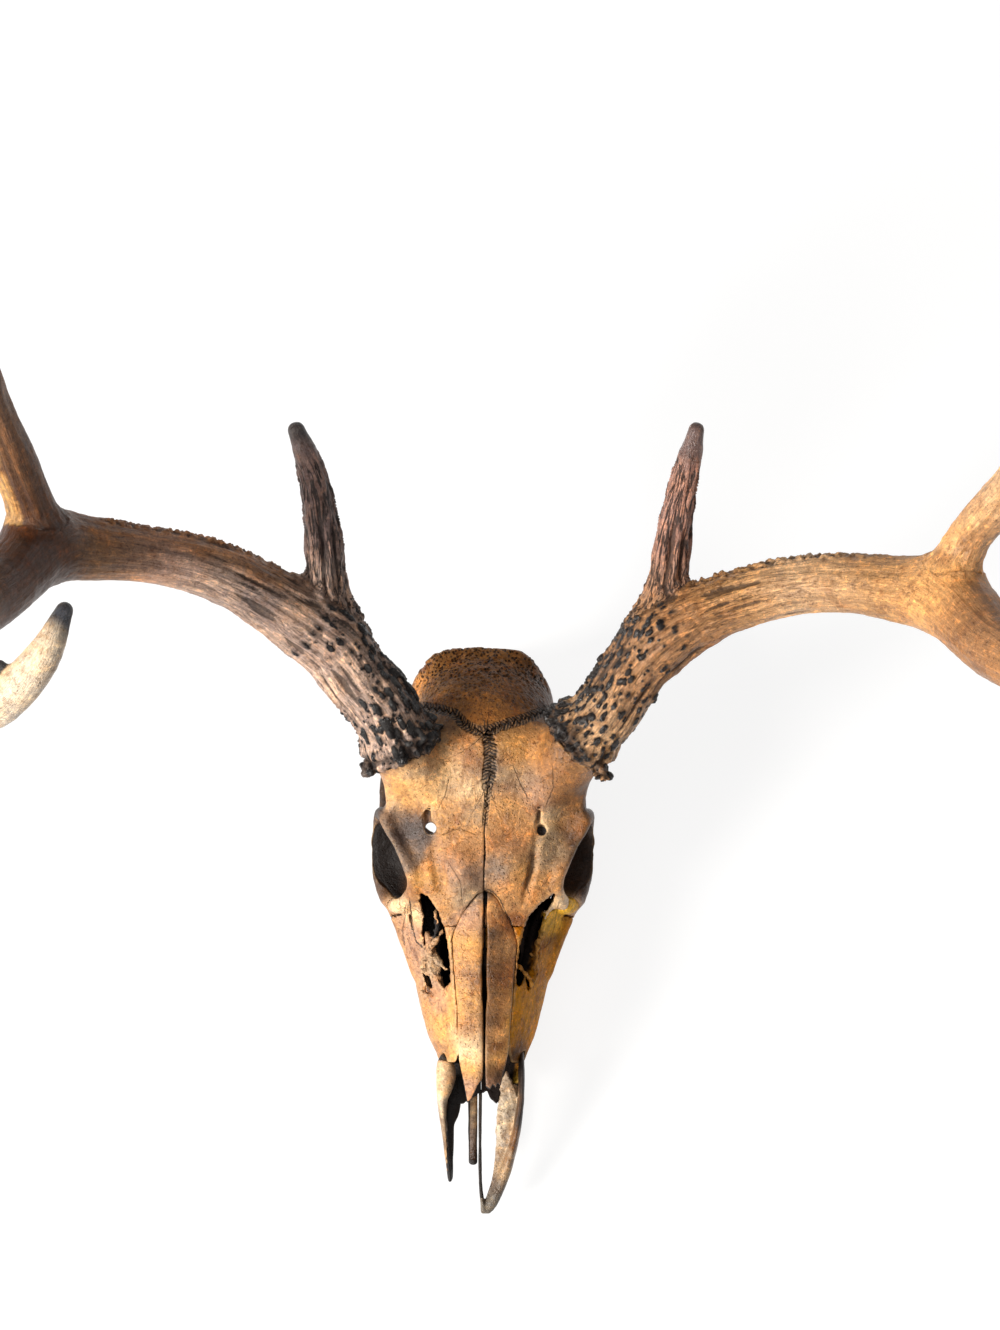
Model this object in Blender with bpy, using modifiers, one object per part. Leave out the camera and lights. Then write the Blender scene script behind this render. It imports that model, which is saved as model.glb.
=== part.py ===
"""White-tailed deer buck skull with antlers, without its lower jaw, at life size.

The skull lies on its cheek teeth and on the two paracondylar processes behind
them, with the plane of the teeth on z = 0 and the snout towards -Y.  Places are
written as (x, s, z) in millimetres: x from the middle of the skull, s back from
the tip of the snout, z up from the surface that it lies on.  The deer's left
side is at +X.
"""
import math

import bmesh
import bpy
import numpy as np
from mathutils import Matrix, Vector

MM = 0.001
ORIGIN_BACK = 190.0      # s of the part's origin, halfway between snout and tines
GAP = 0.3                # clearance between neighbouring bones
VOXEL = 1.9              # grid on which the skull's main forms are melted together
CRANIUM_FACES = 2250     # triangles of that skin before its openings are cut

# --- profile of the skull -------------------------------------------------
ORBIT = (45.0, 183.0, 71.0)
ORBIT_RADII = (27.0, 21.5, 21.0)
FORAMEN = (28.5, 193.0)
FORAMEN_RADIUS = 2.9

# --- faces of the snout and braincase: one row for each cross-section ------
# s, roof z, roof half-width, roof drop, cheek half-width, cheek z, floor half-width, floor z
FACE = [
    (62, 57, 10.0, 2, 19.5, 36, 12, 22),
    (82, 66, 11.5, 3, 22.0, 37, 17, 19),
    (98, 71.5, 13.0, 3, 28.0, 37, 24, 13),
    (114, 75.5, 15.5, 3, 32.4, 37, 28, 12),
    (130, 79.5, 18.0, 3, 36.0, 40, 31, 12),
    (145, 83.5, 22.0, 3, 39.5, 44, 31, 12),
    (158, 88, 28.0, 4, 43.0, 51, 29, 15),
    (170, 94, 34.0, 5, 43.0, 58, 24, 26),
    (178, 96, 36.0, 6, 36.0, 62, 20, 32),
]
VAULT = 4.0              # how far the palate rises between the rows of teeth
# s, roof z, half-width, drop at the edge, thickness
FOREHEAD = [
    (156, 90, 31.0, 6, 10),
    (166, 94, 37.5, 7, 10),
    (175, 97.5, 40.5, 8, 9),
    (185, 101, 45.5, 9, 9),
    (194, 104.5, 50.5, 10, 9),
    (202, 107.5, 52.0, 11, 9),
    (212, 111, 50.5, 10, 11),
    (223, 114.5, 48.0, 9, 14),
    (235, 117.5, 46.0, 8, 18),
    (246, 118, 37.0, 7, 18),
    (256, 116, 27.0, 6, 16),
]
# s, half-width, floor z, roof z
BRAINCASE = [
    (206, 25.0, 46, 103),
    (220, 32.0, 39, 112),
    (236, 36.5, 33, 117),
    (252, 38.5, 28, 117.0),
    (265, 37.5, 25, 112),
    (277, 34.0, 22, 102),
    (286, 26.0, 22, 91),
    (291, 18.5, 27, 78),
    (293, 15.0, 36, 64),
]
MIDDLE = [
    (150, 20.0, 34, 80),
    (166, 21.0, 32, 88),
    (182, 17.0, 34, 94),
    (198, 19.0, 36, 100),
    (214, 27.0, 38, 104),
]
# the cavity behind the nostrils, which flares out at its mouth
NOSE_CAVITY = [
    (40, 16.0, 25, 72),
    (60, 16.0, 25, 70),
    (72, 14.5, 25, 68),
    (90, 15.0, 25, 68),
    (106, 18.0, 24, 72),
    (124, 21.0, 24, 76),
    (144, 22.0, 25, 79),
    (158, 18.0, 27, 77),
    (166, 11.0, 29, 66),
]

# --- round bars: (x, s, z, radius) ------------------------------------------
ORBIT_RIM = [
    (42.5, 160.5, 66.0, 4.4), (38.5, 166.0, 86.0, 4.2), (43.8, 182.0, 92.5, 3.8),
    (51.5, 199.0, 94.0, 4.0), (54.0, 206.0, 79.0, 3.8), (54.5, 200.0, 62.0, 3.8),
    (54.2, 184.0, 52.0, 4.4), (49.5, 168.0, 51.0, 5.0),
]
CHEEK_BAR = [(31.0, 134.0, 38.0, 7.0), (36.5, 148.0, 41.0, 7.5), (44.5, 164.0, 46.0, 6.2),
             (51.2, 180.0, 49.0, 4.8)]
ARCH = [
    (53.8, 197.0, 57.0, 4.8), (51.0, 213.0, 57.5, 4.2), (50.5, 229.0, 55.0, 4.4),
    (45.0, 243.0, 51.0, 6.0), (36.0, 251.0, 48.0, 7.0),
]
NUCHAL_CREST = [
    (32.5, 267.0, 62.0, 4.0), (30.0, 278.0, 76.0, 4.2), (21.0, 287.0, 87.0, 4.2),
    (12.0, 289.5, 90.0, 4.0), (0.0, 290.0, 90.5, 4.0),
]
PARACONDYLAR = [
    (27.0, 279.0, 46.0, 6.5), (27.5, 280.0, 28.0, 5.4), (27.0, 277.0, 12.0, 4.4),
    (26.0, 274.0, -3.0, 3.8),
]
BASE_BAR = [(0.0, 205.0, 36.0, 7.5), (0.0, 235.0, 32.0, 9.5), (0.0, 266.0, 27.0, 11.0),
            (0.0, 288.0, 25.0, 11.0)]
PEDICLE = [(32.0, 219.0, 94.0, 18.0), (38.0, 225.0, 105.0, 17.0), (45.5, 234.0, 118.5, 16.5)]

# --- flattened bars: (x, s, z, half-width, half-height) ---------------------
PTERYGOID = [
    (14.0, 156.0, 28.0, 2.3, 10.0), (13.0, 176.0, 27.0, 2.2, 11.0),
    (12.3, 192.0, 25.0, 2.2, 9.0), (12.0, 204.0, 20.0, 2.0, 4.0),
]
PREMAXILLA_SIDE = [
    (19.6, 84.0, 43.0, 2.6, 7.0), (19.0, 66.0, 36.0, 3.0, 9.0), (17.2, 50.0, 29.0, 3.6, 8.0),
    (14.2, 34.0, 23.5, 4.0, 5.6), (9.6, 20.0, 19.5, 3.8, 3.6), (4.6, 9.5, 17.0, 3.0, 2.6),
    (1.2, 7.0, 16.5, 0.8, 2.0),
]
# the thin floor inside the left premaxilla
PREMAXILLA_SHELF = [
    (12.8, 61.4, 24.5, 4.4, 1.5), (12.2, 50.0, 22.6, 4.3, 1.5), (11.6, 38.7, 21.0, 3.9, 1.4),
    (9.2, 23.4, 18.4, 3.4, 1.3), (4.8, 13.0, 17.0, 2.4, 1.2), (2.6, 9.5, 16.8, 1.4, 1.0),
]
# the right premaxilla has lost its tip, and its inner rod is broken off square
PREMAXILLA_BROKEN = [
    (19.6, 84.0, 43.0, 2.6, 7.0), (19.8, 66.0, 36.0, 3.3, 9.0), (18.9, 50.0, 29.0, 3.5, 8.0),
    (17.4, 38.0, 25.0, 2.8, 6.0), (15.0, 23.0, 20.5, 1.4, 3.2),
]
ROD_LEFT = [
    (1.4, 8.5, 17.0, 1.3, 2.0), (0.5, 22.0, 18.5, 0.9, 1.9), (0.1, 44.0, 21.0, 0.8, 1.8),
    (0.6, 61.4, 23.5, 0.9, 2.0),
]
ROD_BROKEN = [
    (2.6, 31.5, 19.6, 1.5, 1.8), (3.0, 44.0, 21.0, 1.8, 1.8), (4.0, 61.4, 23.5, 2.5, 2.2),
]

# --- ellipsoids: centre (x, s, z), radii ------------------------------------
CONDYLE = ((12.5, 291.0, 27.0), (8.5, 10.0, 12.5))
BULLA = ((20.0, 261.0, 25.0), (8.0, 12.5, 10.0))
EAR_TUBE = ((36.0, 258.0, 47.0), (8.0, 7.0, 8.0))
JAW_SOCKET = ((38.0, 243.0, 46.0), (10.0, 8.0, 7.0))

# --- openings ---------------------------------------------------------------
VACUITY = ((25.5, 138.0, 76.0), (6.0, 23.0, 26.0))
VACUITY_TURN = math.radians(-8.0)
FORAMEN_MAGNUM = ((0.0, 298.0, 38.0), (11.0, 30.0, 11.0))
CHOANA = ((0.0, 176.0, 27.0), (9.5, 20.0, 8.0))

# --- cheek teeth: back end s, width, outer x --------------------------------
TOOTH_ROW_FRONT = 88.0
TEETH = [(99.0, 9.0, 23.0), (111.0, 11.5, 27.0), (122.0, 13.0, 30.0),
         (136.0, 15.0, 33.0), (151.0, 16.0, 34.5), (167.0, 15.0, 34.5)]
TOOTH_TOP = 20.0
TOOTH_GAP = 0.8
TOOTH_TAPER = 0.78       # width of the worn face against the neck of the tooth

# --- nasal bones: s, outer half-width, top z --------------------------------
NASAL = [
    (59, 5.5, 62.5), (66, 10.5, 65), (82, 13.2, 69.5), (104, 13.8, 75.5), (124, 15.0, 80.5),
    (140, 17.0, 84.8), (151, 13.0, 88.2), (162, 3.0, 91.6),
]
NASAL_THICKNESS = 4.4
NASAL_DROP = 4.0
NASAL_ROUND = 15.0       # half-width over which a nasal bone drops by NASAL_DROP
MIDLINE_GAP = 1.6        # the dark split between the two nasal bones
BED_LIFT = 4.0           # the beds are cut this far above the nasal bones

# --- seams between the bones ------------------------------------------------
# plans of the regions as (x, s) outlines; a sloping plane z = level + rise * s
FRONTAL_FRONT = 146.0
CORONAL_SEAM = [(0.0, 243.0), (12.0, 245.5), (28.0, 253.0), (44.0, 265.0)]
FRONTAL_FLOOR = (43.7, 0.18)
CHEEK_SEAM = [(37.0, 158.0), (37.0, 190.0), (44.0, 205.0), (44.0, 236.0)]
CHEEK_CEILING = (-136.0, 1.2)
MAXILLA_BACK = 169.0
BRAINCASE_FRONT = 214.0
SIDE = 90.0              # further out than any bone of the skull
TOP = 200.0
BELOW = -20.0

# --- antlers: (outward x, s, z, radius) along each beam ---------------------
BEAM_RIGHT = [
    (42.7, 230.6, 115.5, 16.6), (53.6, 248.7, 129.5, 17.6), (66.9, 262.9, 138.0, 17.0),
    (78.1, 275.9, 147.0, 17.4), (92.5, 284.8, 157.0, 17.6), (116.7, 296.8, 171.0, 15.2),
    (141.8, 304.3, 185.0, 14.0), (167.7, 305.7, 198.0, 13.3), (192.7, 303.2, 213.0, 14.6),
    (215.0, 298.0, 231.0, 17.5), (230.0, 264.7, 264.0, 14.6), (243.0, 234.0, 305.0, 13.8),
    (243.0, 202.0, 350.0, 12.0), (230.0, 178.0, 384.0, 10.5), (205.0, 167.0, 416.0, 9.2),
    (184.3, 178.6, 440.0, 7.2), (174.6, 195.5, 450.6, 3.4),
]
BEAM_LEFT = [
    (45.0, 235.0, 118.0, 17.2), (59.3, 247.3, 130.5, 16.8), (69.6, 261.5, 139.5, 16.2),
    (79.8, 273.5, 148.0, 16.0), (94.5, 284.5, 158.0, 16.6), (115.7, 292.3, 170.0, 14.6),
    (143.5, 296.9, 184.0, 13.8), (170.5, 295.2, 198.0, 14.0), (196.5, 287.8, 213.0, 16.0),
    (216.5, 277.0, 230.0, 18.0), (231.0, 243.5, 262.0, 15.2), (243.0, 217.0, 306.0, 13.8),
    (246.0, 192.0, 352.0, 12.0), (240.0, 172.0, 392.0, 10.2), (224.0, 168.0, 424.0, 7.4),
    (207.0, 183.0, 449.5, 3.4),
]
BROW_RIGHT = [
    (80.0, 283.0, 149.0, 15.0), (82.6, 303.0, 162.0, 10.6), (84.6, 324.0, 183.0, 8.6),
    (88.4, 344.2, 205.0, 6.9), (96.8, 362.5, 222.5, 4.2),
]
BROW_LEFT = [
    (84.5, 281.0, 149.0, 15.0), (88.6, 305.0, 164.0, 10.3), (90.8, 327.4, 184.0, 8.0),
    (94.8, 348.9, 206.0, 6.2), (98.4, 365.6, 222.5, 3.8),
]
SECOND_RIGHT = [
    (215.0, 298.0, 230.0, 14.5), (220.6, 315.4, 256.0, 11.2), (230.5, 338.5, 291.0, 9.6),
    (237.5, 358.0, 329.0, 7.8), (241.5, 374.0, 366.0, 3.6),
]
SECOND_LEFT = [
    (214.0, 279.0, 228.0, 14.5), (223.5, 301.7, 250.0, 10.6), (237.2, 316.0, 284.0, 9.5),
    (247.5, 336.0, 326.0, 7.2), (253.5, 352.0, 364.0, 3.6),
]
THIRD_RIGHT = [
    (243.0, 234.0, 305.0, 12.0), (249.0, 257.0, 335.0, 9.6), (252.5, 273.0, 370.0, 8.0),
    (251.5, 282.0, 406.0, 6.0), (246.5, 287.0, 434.0, 3.4),
]
THIRD_LEFT = [
    (244.0, 216.0, 309.0, 12.0), (249.5, 241.0, 339.0, 9.4), (251.5, 260.0, 374.0, 7.6),
    (248.5, 273.0, 410.0, 5.6), (242.5, 280.0, 436.0, 3.4),
]
FOURTH_RIGHT = [
    (218.5, 170.5, 401.0, 8.0), (209.0, 174.5, 419.0, 5.0), (200.5, 178.0, 434.0, 2.6),
]
# run of each beam from its burr to just past its brow, second and third tine
FORKS_RIGHT = (102.0, 258.0, 366.0)
FORKS_LEFT = (99.0, 247.0, 366.0)
BURR_HEIGHT = 5.0
BURR_WIDTH = 4.6         # how far along the beam the burr fades
BURR_SWELL = 4.0         # how far the burr stands out
BURR_STEPS = (0.0, 3.5, 7.0, 12.0, 20.0)
BEAM_SIDES = 12
TINE_SIDES = 10
RING_STEP = 20.0         # spacing of the rings along beams and tines
CHORD = 4.0              # half-length of the chord that gives a ring its direction

SHARP = math.radians(40.0)  # edges with a wider turn than this aren't shaded smooth

# --- colours ----------------------------------------------------------------
AMBER_BONE = (0.56, 0.31, 0.12)
BROWN_BONE = (0.33, 0.18, 0.075)
OCHRE_BONE = (0.50, 0.29, 0.07)
DARK_ANTLER = (0.24, 0.12, 0.06)
TAN_ANTLER = (0.42, 0.24, 0.11)
PALE_TINE = (0.66, 0.54, 0.36)


# ---------------------------------------------------------------------------
# Small helpers
# ---------------------------------------------------------------------------
def world(x, s, z):
    """A place in the skull's millimetres as a point in metres."""
    return Vector((x * MM, (s - ORIGIN_BACK) * MM, z * MM))


def smooth_rows(rows, steps=2, closed=False):
    """Rows on the smooth curve through the given ones, `steps` to each span."""
    table = np.asarray(rows, dtype=float)
    if closed:
        padded = np.vstack([table[-1], table, table[0], table[1]])
    else:
        padded = np.vstack([2 * table[0] - table[1], table, 2 * table[-1] - table[-2]])
    t = np.arange(steps)[:, None] / steps
    out = []
    for i in range(len(padded) - 3):
        a, b, c, d = padded[i:i + 4]
        out.append(0.5 * (2 * b + (c - a) * t + (2 * a - 5 * b + 4 * c - d) * t ** 2
                          + (3 * b - a - 3 * c + d) * t ** 3))
    if not closed:
        out.append(table[-1:])
    return np.vstack(out)


def run_along(rows):
    """Distance along a path of (x, s, z, ...) rows at each of its rows."""
    steps = np.linalg.norm(np.diff(rows[:, :3], axis=0), axis=1)
    return np.concatenate([[0.0], np.cumsum(steps)])


def rows_at(rows, distances):
    """The rows of a path at the given distances along it."""
    run = run_along(rows)
    columns = [np.interp(distances, run, rows[:, k]) for k in range(rows.shape[1])]
    return np.column_stack(columns)


def on_side(rows, side):
    """The same rows on the deer's left (+1) or right (-1) side."""
    out = np.array(rows, dtype=float)
    out[:, 0] *= side
    return out


def new_object(name, bm, collection):
    """An object in `collection` made from a bmesh, which is freed."""
    bmesh.ops.recalc_face_normals(bm, faces=bm.faces)
    mesh = bpy.data.meshes.new(name)
    bm.to_mesh(mesh)
    bm.free()
    obj = bpy.data.objects.new(name, mesh)
    collection.objects.link(obj)
    return obj


def loft(bm, rings):
    """A closed skin over rings of equal length, with a face over each end ring."""
    rows = [[bm.verts.new(point) for point in ring] for ring in rings]
    for lower, upper in zip(rows, rows[1:]):
        for i in range(len(lower)):
            j = (i + 1) % len(lower)
            bm.faces.new((lower[i], lower[j], upper[j], upper[i]))
    bm.faces.new(list(reversed(rows[0])))
    bm.faces.new(rows[-1])


def loft_object(name, rings, collection):
    """One lofted solid as an object."""
    bm = bmesh.new()
    loft(bm, rings)
    return new_object(name, bm, collection)


def side_frames(tangents):
    """Two directions square to each tangent, carried along without twist."""
    tangents = tangents / np.linalg.norm(tangents, axis=1)[:, None]
    first = np.cross(tangents[0], (0.0, 0.0, 1.0))
    if np.linalg.norm(first) < 0.1:
        first = np.cross(tangents[0], (1.0, 0.0, 0.0))
    across = []
    for tangent in tangents:
        first = first - tangent * first.dot(tangent)
        first /= np.linalg.norm(first)
        across.append(first)
    across = np.array(across)
    return across, np.cross(tangents, across)


def oval_rings(centres, tangents, widths, heights, sides):
    """Oval rings square to a path, `widths` across and `heights` upwards from it."""
    across, upward = side_frames(tangents)
    angle = np.arange(sides) * 2 * math.pi / sides
    rings = []
    for centre, width, height, u, v in zip(centres, widths, heights, across, upward):
        ring = centre + width * np.outer(np.cos(angle), u) + height * np.outer(np.sin(angle), v)
        rings.append([world(*point) for point in ring])
    return rings


def round_rings(rows, sides):
    """Round rings along (x, s, z, radius) rows."""
    tangents = np.gradient(rows[:, :3], axis=0)
    return oval_rings(rows[:, :3], tangents, rows[:, 3], rows[:, 3], sides)


def strap_rings(rows, side, steps=2, extra=0.0):
    """Rings of a flattened bar from (x, s, z, half-width, half-height) rows."""
    rows = smooth_rows(on_side(rows, side), steps)
    tangents = np.gradient(rows[:, :3], axis=0)
    return oval_rings(rows[:, :3], tangents, rows[:, 3] + extra, rows[:, 4] + extra, 8)


def add_bar(bm, rows, side=1, sides=10):
    """A smooth round bar through (x, s, z, radius) rows."""
    loft(bm, round_rings(smooth_rows(on_side(rows, side), 3), sides))


def add_hoop(bm, rows, side=1, sides=10):
    """A closed smooth round bar through (x, s, z, radius) rows."""
    smooth = smooth_rows(on_side(rows, side), 3, closed=True)
    around = np.vstack([smooth[-1:], smooth, smooth[:1]])
    rings = round_rings(around, sides)[1:-1]
    hoops = [[bm.verts.new(point) for point in ring] for ring in rings]
    first = hoops[0]
    turn = min(range(sides), key=lambda k: (first[k].co - hoops[-1][0].co).length)
    hoops.append([first[(i + turn) % sides] for i in range(sides)])
    for lower, upper in zip(hoops, hoops[1:]):
        for i in range(sides):
            j = (i + 1) % sides
            bm.faces.new((lower[i], lower[j], upper[j], upper[i]))


def add_ellipsoid(bm, centre, radii, side=1, turn=0.0, segments=16, rings=8):
    """An ellipsoid, turned about the upright axis by `turn`."""
    place = Matrix.Translation(world(centre[0] * side, centre[1], centre[2]))
    place = place @ Matrix.Rotation(turn * side, 4, 'Z')
    size = Matrix.Diagonal((radii[0] * MM, radii[1] * MM, radii[2] * MM, 1.0))
    bmesh.ops.create_uvsphere(bm, u_segments=segments, v_segments=rings, radius=1.0,
                              matrix=place @ size)


def outset(outline, grow):
    """A plan outline moved outwards by `grow`, corner by corner."""
    points = np.asarray(outline, dtype=float)
    ahead = np.roll(points, -1, axis=0) - points
    ahead /= np.linalg.norm(ahead, axis=1)[:, None]
    turning = np.sum(points[:, 0] * np.roll(points[:, 1], -1)
                     - np.roll(points[:, 0], -1) * points[:, 1])
    normals = np.sign(turning) * np.column_stack([ahead[:, 1], -ahead[:, 0]])
    before = np.roll(normals, 1, axis=0)
    share = 1.0 + np.sum(normals * before, axis=1)
    return points + grow * (normals + before) / share[:, None]


def region(name, outline, floor, ceiling, grow, collection):
    """A column over an (x, s) plan between two planes z = level + rise * s."""
    plan = outset(outline, grow)
    rings = []
    for (level, rise), shift in ((floor, -grow), (ceiling, grow)):
        rings.append([world(x, s, level + rise * s + shift) for x, s in plan])
    return loft_object(name, rings, collection)


def apply_modifiers(obj):
    """Put what the modifiers make into the object's own mesh."""
    view = bpy.context.evaluated_depsgraph_get()
    view.update()
    mesh = bpy.data.meshes.new_from_object(obj.evaluated_get(view))
    obj.modifiers.clear()
    obj.data = mesh


def boolean(obj, operation, other):
    """Cut, join or trim an object by another one."""
    step = obj.modifiers.new(operation.title(), 'BOOLEAN')
    step.operation = operation
    step.solver = 'EXACT'
    step.object = other
    apply_modifiers(obj)


def copy_of(obj, name, collection):
    """A separate object with a mesh of its own."""
    twin = bpy.data.objects.new(name, obj.data.copy())
    collection.objects.link(twin)
    return twin


def keep_largest(obj):
    """Drop the crumbs that a seam leaves beside the bone itself."""
    bm = bmesh.new()
    bm.from_mesh(obj.data)
    unseen = set(bm.verts)
    islands = []
    while unseen:
        front = [unseen.pop()]
        island = list(front)
        while front:
            near = {edge.other_vert(vert) for vert in front for edge in vert.link_edges}
            front = list(near & unseen)
            unseen -= near
            island += front
        islands.append(island)
    islands.sort(key=len)
    crumbs = [vert for island in islands[:-1] for vert in island]
    bmesh.ops.delete(bm, geom=crumbs, context='VERTS')
    bm.to_mesh(obj.data)
    bm.free()


def fuse(obj):
    """Melt overlapping closed forms into one skin."""
    remesh = obj.modifiers.new("Fuse", 'REMESH')
    remesh.mode = 'VOXEL'
    remesh.voxel_size = VOXEL * MM
    soften = obj.modifiers.new("Soften", 'SMOOTH')
    soften.factor = 0.5
    soften.iterations = 2
    apply_modifiers(obj)


def thin_out(obj, triangles):
    """Reduce a mesh of quads to about this many triangles."""
    decimate = obj.modifiers.new("Thin", 'DECIMATE')
    decimate.ratio = min(1.0, triangles / (2.0 * len(obj.data.polygons)))
    decimate.use_collapse_triangulate = True
    apply_modifiers(obj)


# ---------------------------------------------------------------------------
# Cross-sections of the skull
# ---------------------------------------------------------------------------
def face_ring(row):
    """Ring of the snout: a narrow roof, sloping cheeks and a flat palate."""
    s, roof, roof_half, drop, cheek_half, cheek, floor_half, floor = row
    half = [
        (roof_half * 0.65, roof - drop * 0.25),
        (roof_half, roof - drop),
        ((roof_half + cheek_half) / 2 + 1.0, (roof - drop + cheek) / 2 + 2.0),
        (cheek_half, cheek),
        ((cheek_half + floor_half) / 2 + 1.0, (cheek + floor) / 2 - 2.0),
        (floor_half, floor),
        (floor_half * 0.5, floor + VAULT * 0.7),
    ]
    other_half = [(-x, z) for x, z in reversed(half)]
    outline = [(0.0, roof)] + half + [(0.0, floor + VAULT)] + other_half
    return [world(x, s, z) for x, z in smooth_rows(outline, closed=True)]


def forehead_ring(row):
    """Ring of the forehead: a wide plate that falls away to both edges."""
    s, roof, half_width, drop, thickness = row
    across = np.linspace(-1.0, 1.0, 13)
    top = [(half_width * t, roof - drop * abs(t) ** 2.2) for t in across]
    bottom = [(half_width * 0.94 * t, roof - thickness - drop * 0.8 * t * t)
              for t in across[::-1]]
    return [world(x, s, z) for x, z in top + bottom]


def oval_ring(row, power, sides=22):
    """Ring of a full rounded form between a floor and a roof height."""
    s, half_width, floor, roof = row
    angle = np.arange(sides) * 2 * math.pi / sides
    across = np.sign(np.cos(angle)) * np.abs(np.cos(angle)) ** (2 / power)
    upward = np.sign(np.sin(angle)) * np.abs(np.sin(angle)) ** (2 / power)
    x = half_width * across
    z = (floor + roof) / 2 + (roof - floor) / 2 * upward
    return [world(a, s, b) for a, b in zip(x, z)]


# ---------------------------------------------------------------------------
# The fused skull, before it is parted into bones
# ---------------------------------------------------------------------------
def main_forms(collection):
    """Snout, forehead, middle and braincase in one mesh."""
    bm = bmesh.new()
    loft(bm, [face_ring(row) for row in smooth_rows(FACE)])
    loft(bm, [forehead_ring(row) for row in smooth_rows(FOREHEAD)])
    loft(bm, [oval_ring(row, 2.4) for row in smooth_rows(BRAINCASE)])
    loft(bm, [oval_ring(row, 2.8) for row in smooth_rows(MIDDLE)])
    add_bar(bm, BASE_BAR)
    for side in (-1, 1):
        add_bar(bm, PEDICLE, side, 14)
        add_bar(bm, NUCHAL_CREST, side)
        add_bar(bm, PARACONDYLAR, side)
        add_ellipsoid(bm, *CONDYLE, side)
        add_ellipsoid(bm, *BULLA, side)
        add_ellipsoid(bm, *EAR_TUBE, side)
        add_ellipsoid(bm, *JAW_SOCKET, side)
    return new_object("forms", bm, collection)


def rim_forms(collection):
    """What is added once the eye sockets are hollowed: rims, arches, palate wings."""
    bm = bmesh.new()
    for side in (-1, 1):
        add_hoop(bm, ORBIT_RIM, side)
        add_bar(bm, CHEEK_BAR, side)
        add_bar(bm, ARCH, side)
        loft(bm, strap_rings(PTERYGOID, side))
    return new_object("rims", bm, collection)


def hollows(collection):
    """Eye sockets and the cavity of the nose, as cutters."""
    cavity = [oval_ring(row, 2.6, 20) for row in smooth_rows(NOSE_CAVITY)]
    out = [loft_object("nose_cavity", cavity, collection)]
    for side in (-1, 1):
        bm = bmesh.new()
        add_ellipsoid(bm, ORBIT, ORBIT_RADII, side, segments=28, rings=16)
        out.append(new_object("eye_socket", bm, collection))
    return out


def openings(collection):
    """Holes through the walls, as cutters."""
    out = []
    for side in (-1, 1):
        bm = bmesh.new()
        add_ellipsoid(bm, *VACUITY, side, VACUITY_TURN)
        out.append(new_object("vacuity", bm, collection))
        x, s = FORAMEN
        column = np.array([(x * side, s, 80.0, FORAMEN_RADIUS), (x * side, s, 115.0, FORAMEN_RADIUS)])
        out.append(loft_object("brow_foramen", round_rings(column, 10), collection))
    for name, shape in (("foramen_magnum", FORAMEN_MAGNUM), ("choana", CHOANA)):
        bm = bmesh.new()
        add_ellipsoid(bm, *shape)
        out.append(new_object(name, bm, collection))
    return out


def cranium(cutters):
    """The skull without nasals, premaxillae, teeth and antlers, as one solid."""
    whole = main_forms(cutters)
    fuse(whole)
    for cutter in hollows(cutters):
        boolean(whole, 'DIFFERENCE', cutter)
    boolean(whole, 'UNION', rim_forms(cutters))
    fuse(whole)
    thin_out(whole, CRANIUM_FACES)
    for cutter in openings(cutters):
        boolean(whole, 'DIFFERENCE', cutter)
    return whole


# ---------------------------------------------------------------------------
# Seams: the regions that part the skull into its bones
# ---------------------------------------------------------------------------
def both_sides(half):
    """A plan that is the same on both sides of the skull, from its right half-outline."""
    return half + [(-x, s) for x, s in reversed(half) if x > 0]


def frontal_plan():
    back = CORONAL_SEAM + [(SIDE, CORONAL_SEAM[-1][1])]
    return both_sides(back + [(SIDE, FRONTAL_FRONT)])


def cheek_plan(side):
    inner = [(x * side, s) for x, s in CHEEK_SEAM]
    return inner + [(SIDE * side, CHEEK_SEAM[-1][1]), (SIDE * side, CHEEK_SEAM[0][1])]


def half_plan(side):
    """Everything more than half a gap to one side of the middle."""
    near = side * GAP / 2
    return [(near, -SIDE), (side * SIDE, -SIDE), (side * SIDE, 4 * SIDE), (near, 4 * SIDE)]


def band_plan(front, back):
    return [(-SIDE, front), (SIDE, front), (SIDE, back), (-SIDE, back)]


def take(rest, name, plan, floor, ceiling, bones, cutters):
    """Part the bone inside a region from the rest, and leave a thin gap."""
    bone = copy_of(rest, name, bones)
    boolean(bone, 'INTERSECT', region(name + "_seam", plan, floor, ceiling, 0.0, cutters))
    boolean(rest, 'DIFFERENCE', region(name + "_gap", plan, floor, ceiling, GAP, cutters))
    keep_largest(bone)
    return bone


def halve(bone, stem, bones, cutters):
    """The right and left bone of a pair that meets in the middle."""
    out = {}
    for side, word in ((-1, "_right"), (1, "_left")):
        half = copy_of(bone, stem + word, bones)
        column = region(stem + word + "_half", half_plan(side), (BELOW, 0), (TOP, 0), 0.0, cutters)
        boolean(half, 'INTERSECT', column)
        keep_largest(half)
        out[side] = half
    bpy.data.objects.remove(bone)
    return out


def part_bones(whole, bones, cutters):
    """Part the fused skull; what is left at the end is the middle of its base."""
    low, high = (BELOW, 0.0), (TOP, 0.0)
    frontal = take(whole, "frontal", frontal_plan(), FRONTAL_FLOOR, high, bones, cutters)
    out = {"frontal": halve(frontal, "frontal", bones, cutters)}
    for side, word in ((-1, "right"), (1, "left")):
        take(whole, "zygomatic_" + word, cheek_plan(side), low, CHEEK_CEILING, bones, cutters)
    snout = take(whole, "snout", band_plan(-SIDE, MAXILLA_BACK), low, high, bones, cutters)
    out["maxilla"] = halve(snout, "maxilla", bones, cutters)
    back = band_plan(BRAINCASE_FRONT, 4 * SIDE)
    take(whole, "braincase", back, low, high, bones, cutters)
    keep_largest(whole)
    whole.name = "sphenoid"
    cutters.objects.unlink(whole)
    bones.objects.link(whole)
    return out


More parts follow.
